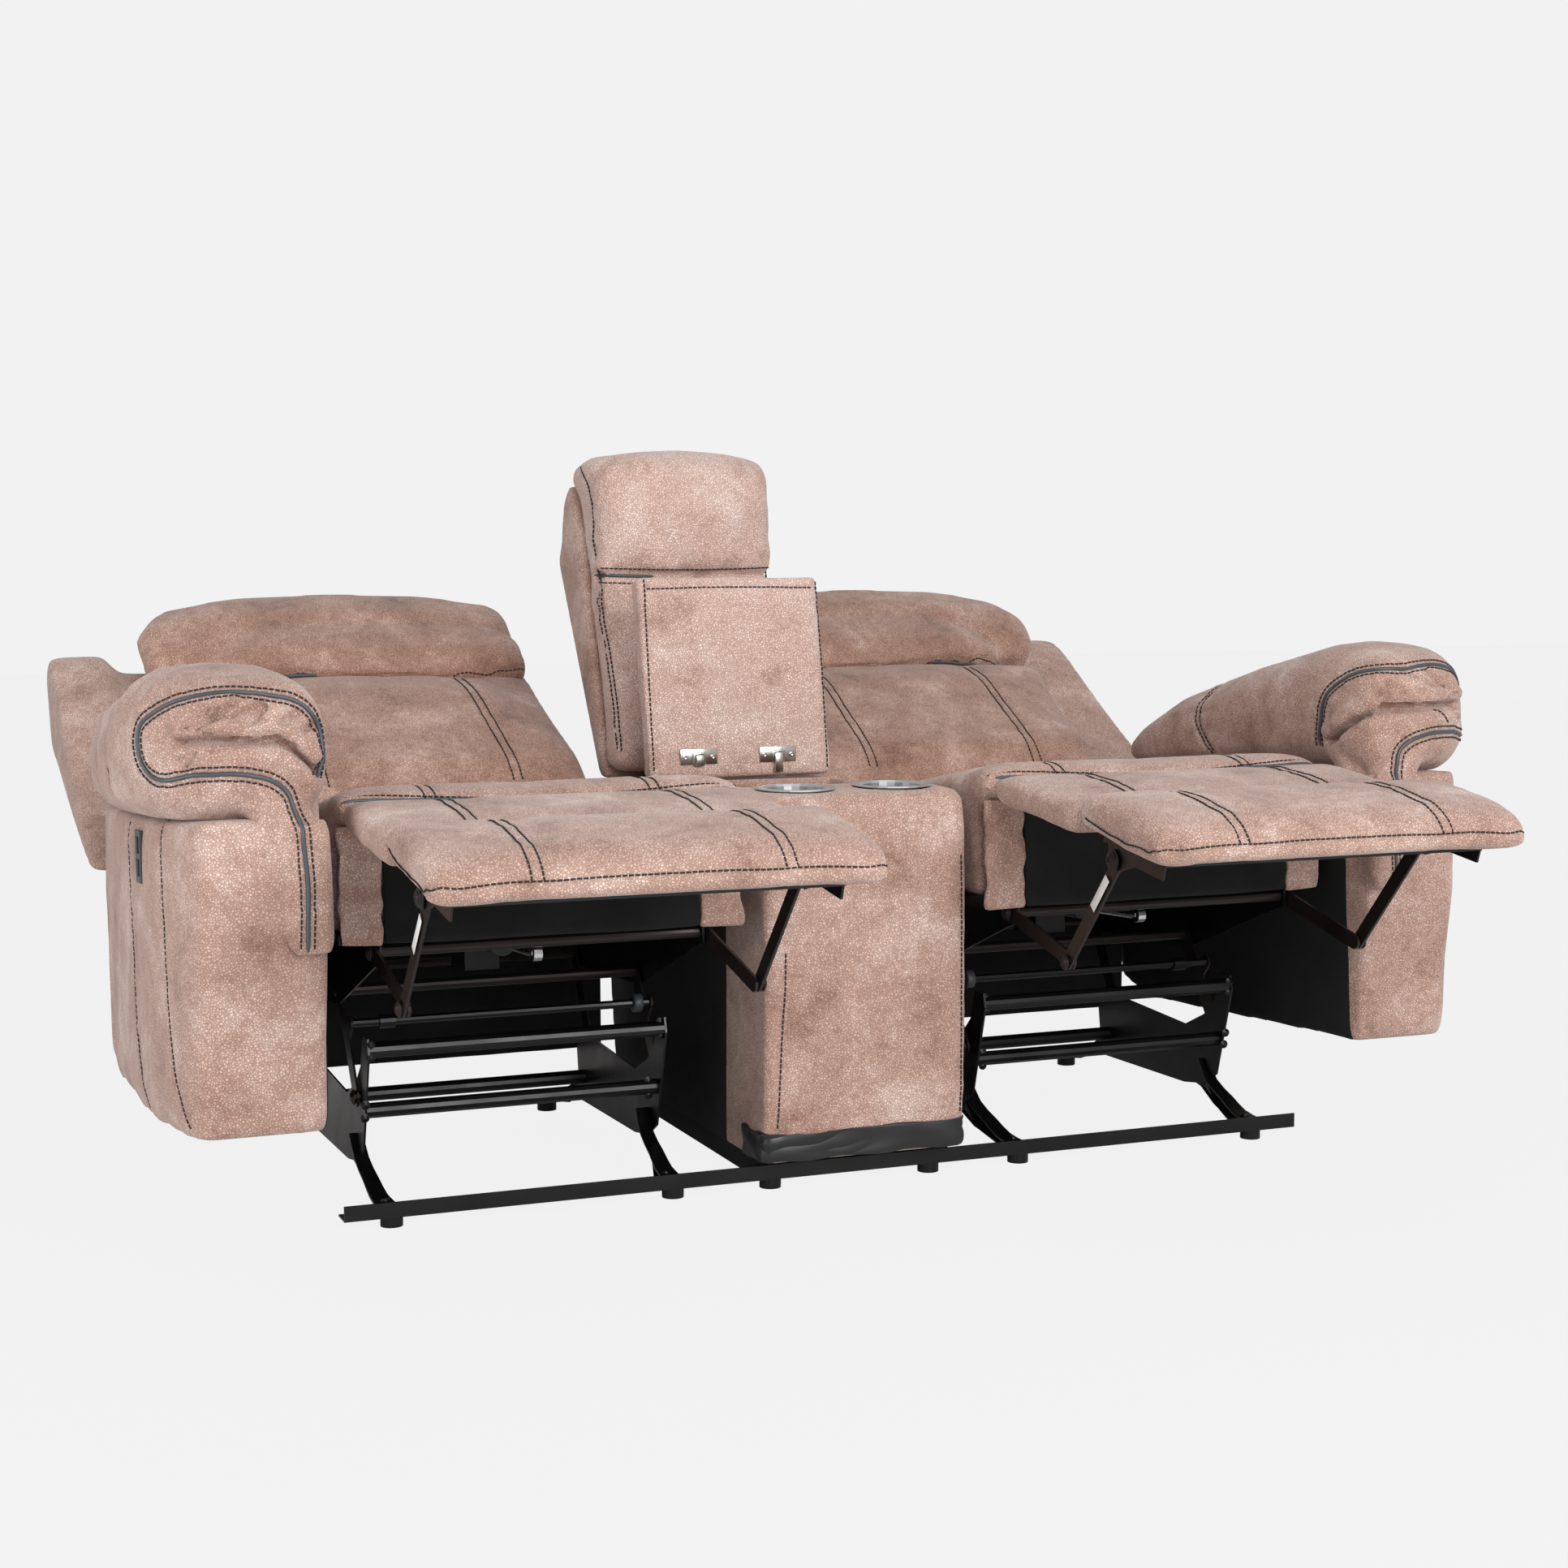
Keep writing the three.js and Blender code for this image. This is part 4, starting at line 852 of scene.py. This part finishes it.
# %% Arm roll
ROLL = [
    (975, 42, 455, 24), (952, 10, 462, 30), (920, -6, 468, 36), (888, -16, 462, 38), (862, -20, 448, 38),
    (838, -24, 422, 36), (820, -28, 385, 34), (811, -29, 340, 33), (810, -27, 290, 33), (810, -25, 245, 33),
]
INNER_ROLL = [(803, 60, 478, 30), (808, 42, 440, 36), (814, 28, 380, 38), (816, 26, 300, 35), (816, 24, 252, 33)]
rolls = []
for stations in (ROLL, INNER_ROLL):
    spine = seat_curve([place for *place, _ in stations], 60)
    wide = curve_through([(radius, 0, 0) for *_, radius in stations], 60)
    rolls.append(to_mesh(cord_curve("roll", spine, 1.0, [w.x * MM for w in wide])))
parts = [copy_of(f"arm_{n}_right", n) for n in ("pillow", "band")]
pillow = join(parts + rolls, "arm_pillow_shape")
remesh(pillow, 0.007)
relax(pillow, 6)
swell(pillow, 0.004)
refine(pillow)
dress(pillow, COVER)
print("roll and pillow", len(pillow.data.vertices), "points")

# %% [markdown]
# The tucked insert at the front is pulled in by its thread. The crease goes deep and short puckers
# fan out from it to the cord. The two arms were not sewn alike: on the left one the cord keeps to the
# front, and on the right one it starts further back on the inner side, so each gets its own lines.

# %% Arm front lines
OUTER_CORD = [
    (846, -45, 567), (877, -40, 571), (910, -32, 571), (939, -21, 567), (962, -2, 559), (983, 14, 547),
    (995, 32, 534), (1000, 37, 519), (1001, 35, 499), (997, 31, 482), (990, 22, 469), (981, 8, 462),
    (969, -6, 461), (952, -25, 465), (931, -41, 468), (910, -47, 468), (888, -50, 467), (865, -50, 463),
    (845, -50, 456), (830, -48, 444), (820, -58, 428), (815, -66, 400), (813, -67, 365), (811, -66, 327),
    (811, -65, 289), (812, -60, 240),
]
CORD_START = {
    "left": [(785, -44, 465), (781, -40, 485), (779, -38, 514), (788, -44, 534), (800, -45, 549), (821, -46, 561)],
    "right": [
        (775, 88, 448), (772, 83, 471), (770, 75, 492), (770, 65, 512), (772, 50, 531), (775, 25, 547),
        (784, 0, 559), (794, -22, 564), (812, -38, 566),
    ],
}
CREASE_START = {
    "left": [(788, -45, 468), (806, -50, 486)],
    "right": [(774, 64, 455), (772, 31, 468), (773, 0, 484), (776, -25, 494), (786, -46, 501), (808, -50, 506)],
}
CREASE = [(836, -50, 507), (864, -50, 506), (892, -50, 509), (930, -43, 511), (961, -18, 509)]
BULGES = [(0.017, -0.008, 0.011), (-0.02, -0.004, 0.012)]
PUCKERS = [
    [(960, 512), (944, 533), (927, 553)], [(950, 513), (919, 536), (890, 557)], [(933, 513), (902, 533), (860, 550)],
    [(888, 510), (865, 530), (851, 545)], [(854, 507), (840, 522), (814, 539)], [(831, 500), (814, 513), (792, 525)],
    [(961, 508), (972, 490), (984, 478)], [(960, 507), (969, 490), (971, 479)],
]
TUCK = [(889, -50, 505), (908, -48, 492), (922, -45, 478)]
CROSS = [
    (IN, (0,), [(1060, 230, 492), (1060, 194, 445)]),
    (OUT, (-6, 6), [(730, 422, 563), (730, 441, 496), (730, 405, 430)]),
]
print("puckers", len(PUCKERS))


# %% Arm fronts
def share(value):
    return max(0.0, min(1.0, value))


def outer_slack(point):
    local = from_seat @ Vector(point)
    return share((local.x - 0.955) / 0.03) * share((local.y - 0.1) / 0.1)


for side in BOTH:
    piece = duplicate(pillow, f"arm_pillow_cover_{side}")
    crease = near(skin(piece), seat_curve(CREASE_START[side] + CREASE, 80))
    press(piece, crease, depth=0.021, width=0.006, pucker=0.003, seed=2)
    for rise, depth, width in BULGES:
        press(piece, near(skin(piece), [p + seat_up * rise for p, _ in crease]), depth=depth, width=width)
    for points in PUCKERS:
        guide = seat_curve([(x, -40, z) for x, z in points], 20)
        press(piece, near(skin(piece), guide), depth=0.011, width=0.0055)
    folds(piece, 0.045, 0.006, seed=5, stretch=(1, 0.28, 1.2), where=outer_slack)
    guide = seat_curve(CORD_START[side] + OUTER_CORD, 280)
    press(piece, calm(near(skin(piece), guide)), depth=0.0022, width=0.005)
    cord_path = calm(near(skin(piece), guide), 10)
    paths = [near(skin(piece), offset_path(cord_path, way * 0.0085, 0.004)) for way in (-1, 1)]
    if side == "right":
        paths.append(near(skin(piece), seat_curve(TUCK, 14)))
    for way, gaps, points in CROSS:
        for gap in gaps:
            guide = seat_curve([(x, y + gap, z) for x, y, z in points], 30)
            paths.append(sewn(piece, guide, way, depth=0.003, width=0.005, pucker=0.002, spread=0.03))
    keep(piece, "seat", ["arm_pillow", "arm_band"], 0.8, (side,))
    keep(tube(f"arm_piping_{side}", cord_path, 0.003, 0.001), "seat", sides=(side,))
    sew(f"pillow_thread_{side}", "seat", paths, (side,))
    print(side, "arm front sewn in", len(paths), "rows")
bpy.data.objects.remove(pillow)
keep(arm, "seat", ["arm_body"], 0.3)
sew("arm_thread_right", "seat", arm_rows)

# %% [markdown]
# Inside, below the seat, the arm is lined with thin black cloth. The lining starts as a copy of the
# arm's own inner skin, trimmed by planes, and a Solidify modifier gives it a thickness.


# %% Linings
def lining(piece, name, planes, rule, thickness=0.0012):
    """Copies the faces of a piece that the rule picks, cut by planes, as a thin sheet."""
    copy = duplicate(piece, name)
    for place, direction in planes:
        cut_away(copy, place, direction)
    select_faces(copy, lambda c, n: not rule(c, n))
    bpy.ops.mesh.delete(type="FACE")
    done()
    modify(copy, "SOLIDIFY", thickness=thickness, offset=1)
    print(name, len(copy.data.polygons), "faces")
    return dress(copy, BLACK_CLOTH)


inner_planes = [(on_seat(0, 16, 0), -seat_back), (on_seat(0, 0, 372), seat_up)]
arm_lining = lining(arm, "arm_lining_right", inner_planes, lambda c, n: n.x < -0.6 and c.x < 0.86)
keep(arm_lining, "seat")

# %% [markdown]
# Back cushion and headrest are two pads of one back. Their join is stitched right across, and a short
# slate cord fills its outer third. The headrest's lower edge is gathered, most of all near that cord.

# %% Back cushion
FOOT_DROP, FOOT_REACH = 30, 160
JOIN = [(186, -60, 484), (300, -60, 468), (440, -60, 459), (600, -60, 479), (745, -60, 510)]


def topped(piece):
    """Cuts the cushion at the headrest and lets its foot hang down onto the seat."""
    cut_away(piece, on_back(0, 0, 504), back_up, fill=True)
    foot = min((from_back @ Vector(c) / MM).z for c in places(piece))
    lift_points(piece, from_back, on_back, lambda x, y, z: z - FOOT_DROP * max(0.0, 1 - (z - foot) / FOOT_REACH))


# The back cushion wears the darker copy of the cover, which paints shade on it.
cushion = soften("back_cushion_right", "back_cover_right", cap=0.009, shape=topped, finish=COVER_WITH_PAINTED_SHADE)
rows = channel_rows(cushion, lambda x: (on_back(x, -50, 130), on_back(x + 14, 0, 470)), back_in)
keep(cushion, "back", ["back_cushion"], 0.7)

# %% Headrest with its lip
LIP_MIDDLE, LIP_WIDTH, LIP_REAR, LIP_TOP = 466, 566, 120, 590
lip = cube((-0.5, -0.5, -0.5), (0.5, 0.5, 0.5))
subdivide(lip)
co = places(lip)
for i, (x, y, z) in enumerate(co):
    along = LIP_MIDDLE + x * LIP_WIDTH
    low = float(np.interp(along, [p[0] for p in JOIN], [p[2] for p in JOIN])) + 3
    front = 10 + 26 * max(0, z + 0.1) + 16 * abs(2 * x) ** 3 + 30 * max(0, 2 * x) ** 5
    co[i] = on_back(along, front + (y + 0.5) * (LIP_REAR - front), low + (z + 0.5) * (LIP_TOP - low))
place_all(lip, co)


def lipped(piece):
    join([piece, lip], piece.name)


# The headrest also wears the darker copy of the cover, which paints shade on it.
headrest = soften(
    "headrest_right", "headrest_cover_right", voxel=0.0095, cap=0.008, rounds=14, shape=lipped, finish=COVER_WITH_PAINTED_SHADE
)
guide = curve_through([on_back(*p) for p in JOIN], 90)
above = [p + back_up * 0.014 for p in guide]
path = sewn(headrest, above, back_in, depth=0.003, width=0.006, pucker=0.005, pitch=0.03, spread=0.05, seed=11)
print("lip points found", len(path))
keep(headrest, "back", ["headrest"], 0.8)
sew("back_thread_right", "back", rows + [path])
path = traced(skin(cushion), [p - back_up * 0.001 for p in guide if p.x > 0.56], back_in)
keep(tube("back_piping_right", path, 0.0026, 0.004), "back")

# %% [markdown]
# The shell behind the cushions is a covered board with a raised outer shoulder. It has no filling, so it
# is only remeshed, relaxed and given slow folds.

# %% Back shell
SHOULDER = 21


def winged(piece):
    lift_points(
        piece, from_back, on_back, lambda x, y, z: z + SHOULDER * share((x - 640) / 80) * share((z - 220) / 160)
    )


shell = soften("back_frame_right", "back_shell_right", rounds=5, shape=winged)
folds(shell, 0.2, 0.004, seed=3)
keep(shell, "back", ["back_frame"], 0.2)

# %% [markdown]
# The console stands on the floor between the seats. Its front is one upholstered board with a stitched
# seam near each edge, its flanks are black cloth behind the front corner, and a black vinyl kick strip
# closes it below.


# %% Console
def seam_on(piece, y, points):
    """Presses a seam into the front of a piece and gives its path."""
    guide = curve_through([upright(x, y, z) for x, z in points], 60)
    return sewn(piece, guide, AWAY, depth=0.0026, width=0.005, pucker=0.0012, seed=len(points))


console = soften("console_box", "console_cover", voxel=0.007, rounds=2, levels=0)
folds(console, 0.18, 0.0014, seed=8)
rows = [
    seam_on(console, -60, [(-125, 345), (-126, 291), (-130, 229), (-133, 167), (-136, 92)]),
    seam_on(console, -60, [(146, 470), (147, 380), (147, 280), (148, 180), (148, 92)]),
]
keep(console, "base", ["console_box"], sides=MIDDLE)
sew("console_thread", "base", rows, MIDDLE)
flank_planes = [(upright(0, 110, 0), FRONT), (upright(0, 0, 425), UP)]
flanks = lining(console, "console_flanks", flank_planes, lambda c, n: abs(n.x) > 0.6)
keep(flanks, "base", sides=MIDDLE)
kick_planes = [(upright(0, 0, 90), UP), (upright(0, 40, 0), AWAY)]
kick = lining(console, "kick_strip", kick_planes, lambda c, n: n.z > -0.6, thickness=0.003)
refine(kick)
folds(kick, 0.035, 0.006, seed=6, stretch=(0.5, 1, 1.6))
keep(dress(kick, KICK_VINYL), "base", sides=MIDDLE)

# %% [markdown]
# The middle back does not move: its cushion and headrest are sewn into one column with a flat side
# strip. So both pads are fused with two fillers, which square the notch between them, and the
# border seam runs down each side just behind the front corner.


# %% Middle back
def squared(piece):
    notch = cube(upright(-153, 690, 800), upright(153, 772, 905))
    crown = cube(upright(-152, 700, 905), upright(152, 800, 985))
    join([piece, copy_of("console_headrest", "upper pad"), notch, crown], piece.name)


# The middle back wears the paler copy of the cover, which paints light on it.
middle = soften("console_back_cushion", "middle_back_cover", voxel=0.009, cap=0.007, shape=squared, finish=COVER_WITH_PAINTED_LIGHT)
middle_shell = soften("console_back_frame", "middle_back_shell", voxel=0.009, rounds=3)
BORDER = [
    (-150, 800, 1040), (-158, 760, 1010), (-158, 736, 962), (-158, 731, 910), (-157, 715, 862), (-157, 698, 827),
    (-156, 683, 783), (-150, 657, 717), (-150, 627, 643), (-150, 604, 575),
]
DOUBLE_FROM = 0.42
rows = []
for way in (1, -1):
    guide = curve_through([upright(way * x, y, z) for x, y, z in BORDER], 90)
    path = sewn(middle, guide, rounds=6, depth=0.0028, width=0.005, pucker=0.0035, spread=0.03, pitch=0.02, seed=way)
    rows.append(thread("border", [path], lift=0.0008))
    rows.append(thread("border", [path[int(len(path) * DOUBLE_FROM) :]], way * 0.008, 0.0008))
guide = curve_through([upright(x, 500, z) for x, z in ((-148, 861), (-75, 859), (0, 858), (75, 859), (148, 861))], 80)
sewn(middle, guide, AWAY, depth=0.009, width=0.009, pucker=0.006, pitch=0.028, spread=0.045, seed=21)
found = skin(middle)
rows.append(thread("lip", [traced(found, [p + Vector((0, 0, rise)) for p in guide], AWAY) for rise in (0.012, -0.012)]))
cord = tube("middle_piping", traced(found, [p for p in guide if p.x < -0.06], AWAY), 0.0028, 0.001)
keep(middle, "base", ["console_back_cushion", "console_headrest"], 0.75, MIDDLE)
keep(middle_shell, "base", ["console_back_frame"], 0.2, MIDDLE)
keep(join(rows, "middle_thread"), "base", sides=MIDDLE)
keep(cord, "base", sides=MIDDLE)

# %% [markdown]
# The lid is a thin padded board that stands open against the middle back. Three seams frame its face.

# %% Lid
# The lid wears the paler copy of the cover, which paints light on it.
lid = soften("console_lid", "lid_cover", voxel=0.006, cap=0.003, rounds=3, levels=0, finish=COVER_WITH_PAINTED_LIGHT)
folds(lid, 0.16, 0.003, seed=12)
rows = [
    seam_on(lid, 400, [(-142, 856), (-144, 760), (-145, 661), (-146, 552)]),
    seam_on(lid, 400, [(150, 856), (150, 760), (149, 661), (146, 552)]),
    seam_on(lid, 400, [(-139, 842), (0, 844), (146, 842)]),
]
keep(lid, "lid", ["console_lid"], 0.4, MIDDLE)
sew("lid_thread", "lid", rows, MIDDLE)

# %% [markdown]
# Behind each seat hangs a sheet of black lining, tacked along the rear tube, that hides the works from
# behind. It starts as a grid, waves gently, and gets its thickness from a Solidify modifier.

# %% Rear aprons
APRON_WIDTH, APRON_HEIGHT, APRON_TOP = 0.588, 0.284, 0.385
deselect()
bpy.ops.mesh.primitive_grid_add(x_subdivisions=60, y_subdivisions=30, size=1)
apron = rename(bpy.context.active_object, "rear_apron_cloth_right")
apron.scale = (APRON_WIDTH, APRON_HEIGHT, 1)
apron.rotation_euler = (math.pi / 2, 0, 0)
apron.location = (SEAT_X + 0.013, upright(0, 602.1, 0).y, 0.243)
apply_place(apron)
co = places(apron)
for i, (x, _, z) in enumerate(co):
    hang = (APRON_TOP - z) / APRON_HEIGHT
    co[i][1] += 0.004 * hang * noise.noise(Vector((x / 0.07, 3.0, z / 0.5)))
place_all(apron, co)
modify(apron, "SOLIDIFY", thickness=0.001, offset=0)
keep(dress(apron, BLACK_CLOTH), "seat", ["rear_apron"])
print("apron", len(apron.data.vertices), "points")

# %% [markdown]
# The works carry a few kinds of fastener. Each kind is modelled once at unit size, from a short
# cylinder whose top is inset and raised, and copies are set at every pivot and tube end.


# %% Fasteners
def fastener(name, sides, height, steps):
    deselect()
    bpy.ops.mesh.primitive_cylinder_add(vertices=sides, radius=1, depth=height, location=(0, 0, height / 2))
    item = rename(apply_place(bpy.context.active_object), name)
    select_faces(item, lambda c, n: n.z > 0.9)
    for inset, rise in steps:
        bpy.ops.mesh.inset(thickness=inset)
        bpy.ops.mesh.extrude_region_move(TRANSFORM_OT_translate={"value": (0, 0, rise)})
    done()
    return modify(item, "BEVEL", width=0.05)


RIVET = fastener("rivet", 24, 0.22, [(0.22, 0.16), (0.2, 0.12), (0.25, 0.07)])
WASHER = fastener("domed washer", 28, 0.12, [(0.18, 0.2), (0.2, 0.14), (0.22, 0.08), (0.2, -0.12)])
SCREW = fastener("screw", 20, 0.25, [(0.2, 0.18), (0.3, -0.14)])


def set_fasteners(name, pattern, spots, finish):
    """Copies a fastener to each (place, direction, radius)."""
    copies = []
    for place, direction, radius in spots:
        copy = duplicate(pattern, name)
        turn = Vector(direction).to_track_quat("Z", "Y").to_matrix().to_4x4()
        copy.data.transform(Matrix.Translation(place) @ turn @ Matrix.Scale(radius, 4))
        copies.append(copy)
    return dress(join(copies, name), finish)


def joint_place(name, x):
    place = Vector(JOINTS[name]["pos_m"])
    place.x = x
    return place


# %% Pins of the works
PINS = [
    ("front_pins", RIVET, "front_swing", [("recline", 0.2447, 0.6913, 0.011), ("seat_level", 0.2447, 0.6913, 0.01)]),
    ("rear_pins", RIVET, "rear_swing", [("rear_swing", 0.2447, 0.6913, 0.011)]),
    ("lower_pins", RIVET, "lower", [("footrest", 0.2317, 0.7043, 0.012)]),
    ("upper_pins", RIVET, "upper", [("upper_fold", 0.2257, 0.7103, 0.011)]),
    ("foot_washers", WASHER, "foot", [("foot_tilt", 0.2207, 0.7153, 0.015)]),
]
for name, pattern, body, pairs in PINS:
    spots = []
    for joint, inner, outer, radius in pairs:
        spots += [(joint_place(f"{joint}_right", x), way, radius) for x, way in ((inner, IN), (outer, OUT))]
    keep(set_fasteners(f"{name}_right", pattern, spots, LINK_STEEL), body)
print("pivots dressed", len(PINS))

# %% Tube bolts and collar
TUBE_BOLTS = [
    (684, 112.6, 146, 0.0065), (684, 117, 127, 0.0065), (268, 130.4, 143, 0.0065), (268, 130.4, 123, 0.0065),
    (679, 97, 231, 0.006), (679, 97.5, 214, 0.006), (259, 104, 233, 0.006), (259, 100.5, 214, 0.006),
]
bolts = [(upright(x, y, z), FRONT, radius) for x, y, z, radius in TUBE_BOLTS]
keep(set_fasteners("tube_bolts_right", RIVET, bolts, BLACK_PAINT), "base")
deselect()
bpy.ops.mesh.primitive_cylinder_add(
    vertices=32, radius=0.0135, depth=0.012, rotation=(0, math.pi / 2, 0), location=upright(268, 179.75, 248)
)
collar = rename(apply_place(bpy.context.active_object), "drive_collar_right")
select_faces(collar, lambda c, n: abs(n.x) > 0.9)
bpy.ops.mesh.inset(thickness=0.0026, depth=0.0008)
done()
modify(collar, "BEVEL", width=0.0007)
keep(dress(collar, GREY_PLASTIC), "front_swing")
print("tube bolts", len(bolts))

# %% [markdown]
# Two nickel-plated hinges carry the lid. Each is a rounded plate with two screws and a short cranked arm
# that steps out of a cup in its middle and reaches down to the deck.

# %% Lid hinges
HINGE_Z = 580


def block(low, high, round_by):
    return dress(modify(cube(upright(*low), upright(*high)), "BEVEL", width=round_by, segments=2), NICKEL)


for side, x, arm_low in (("left", -74, 566), ("right", 59, 552)):
    plate = block((x - 31, 441.4, HINGE_Z - 12), (x + 31, 443.8, HINGE_Z + 13), 0.001)
    cup = block((x - 11, 438.6, HINGE_Z - 12), (x + 11, 442, HINGE_Z + 8), 0.0015)
    select_faces(cup, lambda c, n: n.y < -0.9)
    bpy.ops.mesh.inset(thickness=0.0025)
    bpy.ops.mesh.extrude_region_move(TRANSFORM_OT_translate={"value": (0, 0.0026, 0)})
    done()
    crank = block((x - 7, 434.5, arm_low), (x + 7, 440, HINGE_Z + 4), 0.0018)
    heads = [(upright(x + w, 441.6, HINGE_Z), FRONT, 0.0038) for w in (-23, 23)]
    screws = set_fasteners("screws", SCREW, heads, NICKEL)
    hinge = join([plate, cup, crank, screws], f"lid_hinge_plate_{side}")
    keep(hinge, "lid", [f"lid_hinge_{side}"], sides=MIDDLE)
    print(side, "hinge made")

# %% [markdown]
# From each side plate a flat strap comes down to the front rail. It is one bar, subdivided along its
# length and laid along a bent path, with its foot a little wider than its neck.

# %% Floor straps
BAR = 14
NECK, FLARE, THICK = 20, 14, 4
STRAPS = ((684, -8), (262, 12))
bend = curve_through([(0, 176, 92), (0, 148, 62), (0, 100, 44), (0, 62, 30), (0, 22, 26), (0, 4, 25)], 200)
straps = []
for x, lean in STRAPS:
    strap = cube((-0.5, -BAR / 2, -0.5), (0.5, BAR / 2, 0.5))
    subdivide(strap)
    co = places(strap)
    for i, (u, v, w) in enumerate(co):
        along = share((BAR / 2 - v) / BAR)
        at = bend[int(along * (len(bend) - 1))]
        co[i] = upright(x + lean * along + u * (NECK + FLARE * along**2), at.y, at.z + w * THICK)
    place_all(strap, co)
    straps.append(dress(modify(strap, "BEVEL", width=0.0008), BLACK_PAINT))
heads = [(upright(x + lean, 40, 29), UP, 0.007) for x, lean in STRAPS]
straps.append(set_fasteners("strap_pins", RIVET, heads, BLACK_PAINT))
keep(join(straps, "floor_straps_right"), "base")
print("floor straps", len(STRAPS))

# %% [markdown]
# A thin white strip without any print is stuck on each upper link of the footrest, near its lower end.

# %% Blank strips
STRIP = Vector((0.0004, 0.062, 0.0135))
link_from, link_to = joint_place("upper_fold_right", 0), joint_place("foot_tilt_right", 0)
link_run = (link_to - link_from).normalized()
place = link_from.lerp(link_to, 0.68)
strips = []
for x in (0.2254, 0.7106):
    strip = cube(-STRIP / 2, STRIP / 2)
    strip.rotation_euler = (math.atan2(link_run.z, link_run.y), 0, 0)
    strip.location = (x, place.y, place.z)
    apply_place(strip)
    strips.append(dress(modify(strip, "BEVEL", width=0.0001), WHITE_STRIP))
keep(join(strips, "link_strips_right"), "upper")
print("blank strips", len(strips))

# %% [markdown]
# Now every piece goes onto its body, and the plain nodes that it stands for are hidden. A left piece is the right one
# with its points mirrored and its faces turned round again.


# %% Put everything on its body
def settle(item, body, replaced):
    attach(item, body)
    if replaced:
        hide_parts(*replaced)
    smooth(item, 50)


def mirrored(item):
    place_all(item, places(item) * (-1, 1, 1))
    item.data.flip_normals()
    return item


for item, body, replaced, fill, sides in KEPT:
    for side in sides:
        piece = item
        if side == "left":
            piece = mirrored(duplicate(item, item.name.replace("_right", "_left")) if sides == BOTH else item)
        tail = f"_{side}" if side else ""
        settle(piece, body if body == "base" else body + tail, [n + tail for n in replaced])
for pattern in (STITCH, RIVET, WASHER, SCREW):
    bpy.data.objects.remove(pattern)
print("pieces on their bodies", len(KEPT))

# %% [markdown]
# The studio is a pale floor under an even white sky, with soft lamps above, in front and at the left.
# The floor glows to the camera almost like the sky, which hides its edge, but it takes the shadow.

# %% Studio
BACKDROP = (0.888, 0.888, 0.888, 1)
FLAT_SHARE = 0.97
bpy.ops.mesh.primitive_plane_add(size=30, location=(0, 0, -0.0005))
floor = rename(apply_place(bpy.context.active_object), "floor")
finish, tree, shader = new_material("pale floor")
shader.inputs["Base Color"].default_value = (0.80, 0.80, 0.80, 1)
shader.inputs["Roughness"].default_value = 0.9
ray = node(tree, "LightPath")
part = node(tree, "Math", {1: FLAT_SHARE}, operation="MULTIPLY")
glow = node(tree, "Emission", {"Color": BACKDROP, "Strength": 1.0})
mix = node(tree, "MixShader")
wire(
    tree, (ray, "Is Camera Ray", part, 0), (part, 0, mix, 0), (shader, 0, mix, 1), (glow, 0, mix, 2),
    (mix, 0, tree.nodes["Material Output"], 0),
)
dress(floor, finish)

world = bpy.data.worlds.new("studio")
bpy.context.scene.world = world
world.use_nodes = True
sky = world.node_tree
sky.nodes.clear()
light = node(sky, "Background", {"Color": (1, 1, 1, 1), "Strength": 0.55})
shown = node(sky, "Background", {"Color": BACKDROP, "Strength": 1.0})
ray = node(sky, "LightPath")
seen = node(sky, "Math", operation="MAXIMUM")
mix = node(sky, "MixShader")
wire(
    sky, (ray, "Is Camera Ray", seen, 0), (ray, "Is Transmission Ray", seen, 1), (seen, 0, mix, 0),
    (light, 0, mix, 1), (shown, 0, mix, 2), (mix, 0, node(sky, "OutputWorld"), 0),
)


def lamp(name, place, size, power, aim_at):
    data = bpy.data.lights.new(name, "AREA")
    data.shape = "RECTANGLE"
    data.size, data.size_y = size
    data.energy = power
    item = add_object(name, data)
    item.location = place
    item.rotation_euler = (Vector(aim_at) - Vector(place)).to_track_quat("-Z", "Y").to_euler()


lamp("top lamp", (0.3, -1.4, 3.4), (3.4, 2.4), 20, (0, 0, 0.4))
lamp("front lamp", (0.3, -4.6, 2.1), (3.0, 1.8), 180, (0, 0, 0.55))
lamp("side lamp", (-3.2, -0.9, 0.9), (1.4, 1.0), 30, (-1, 0, 0.4))
print("lamps", len(bpy.data.lights))
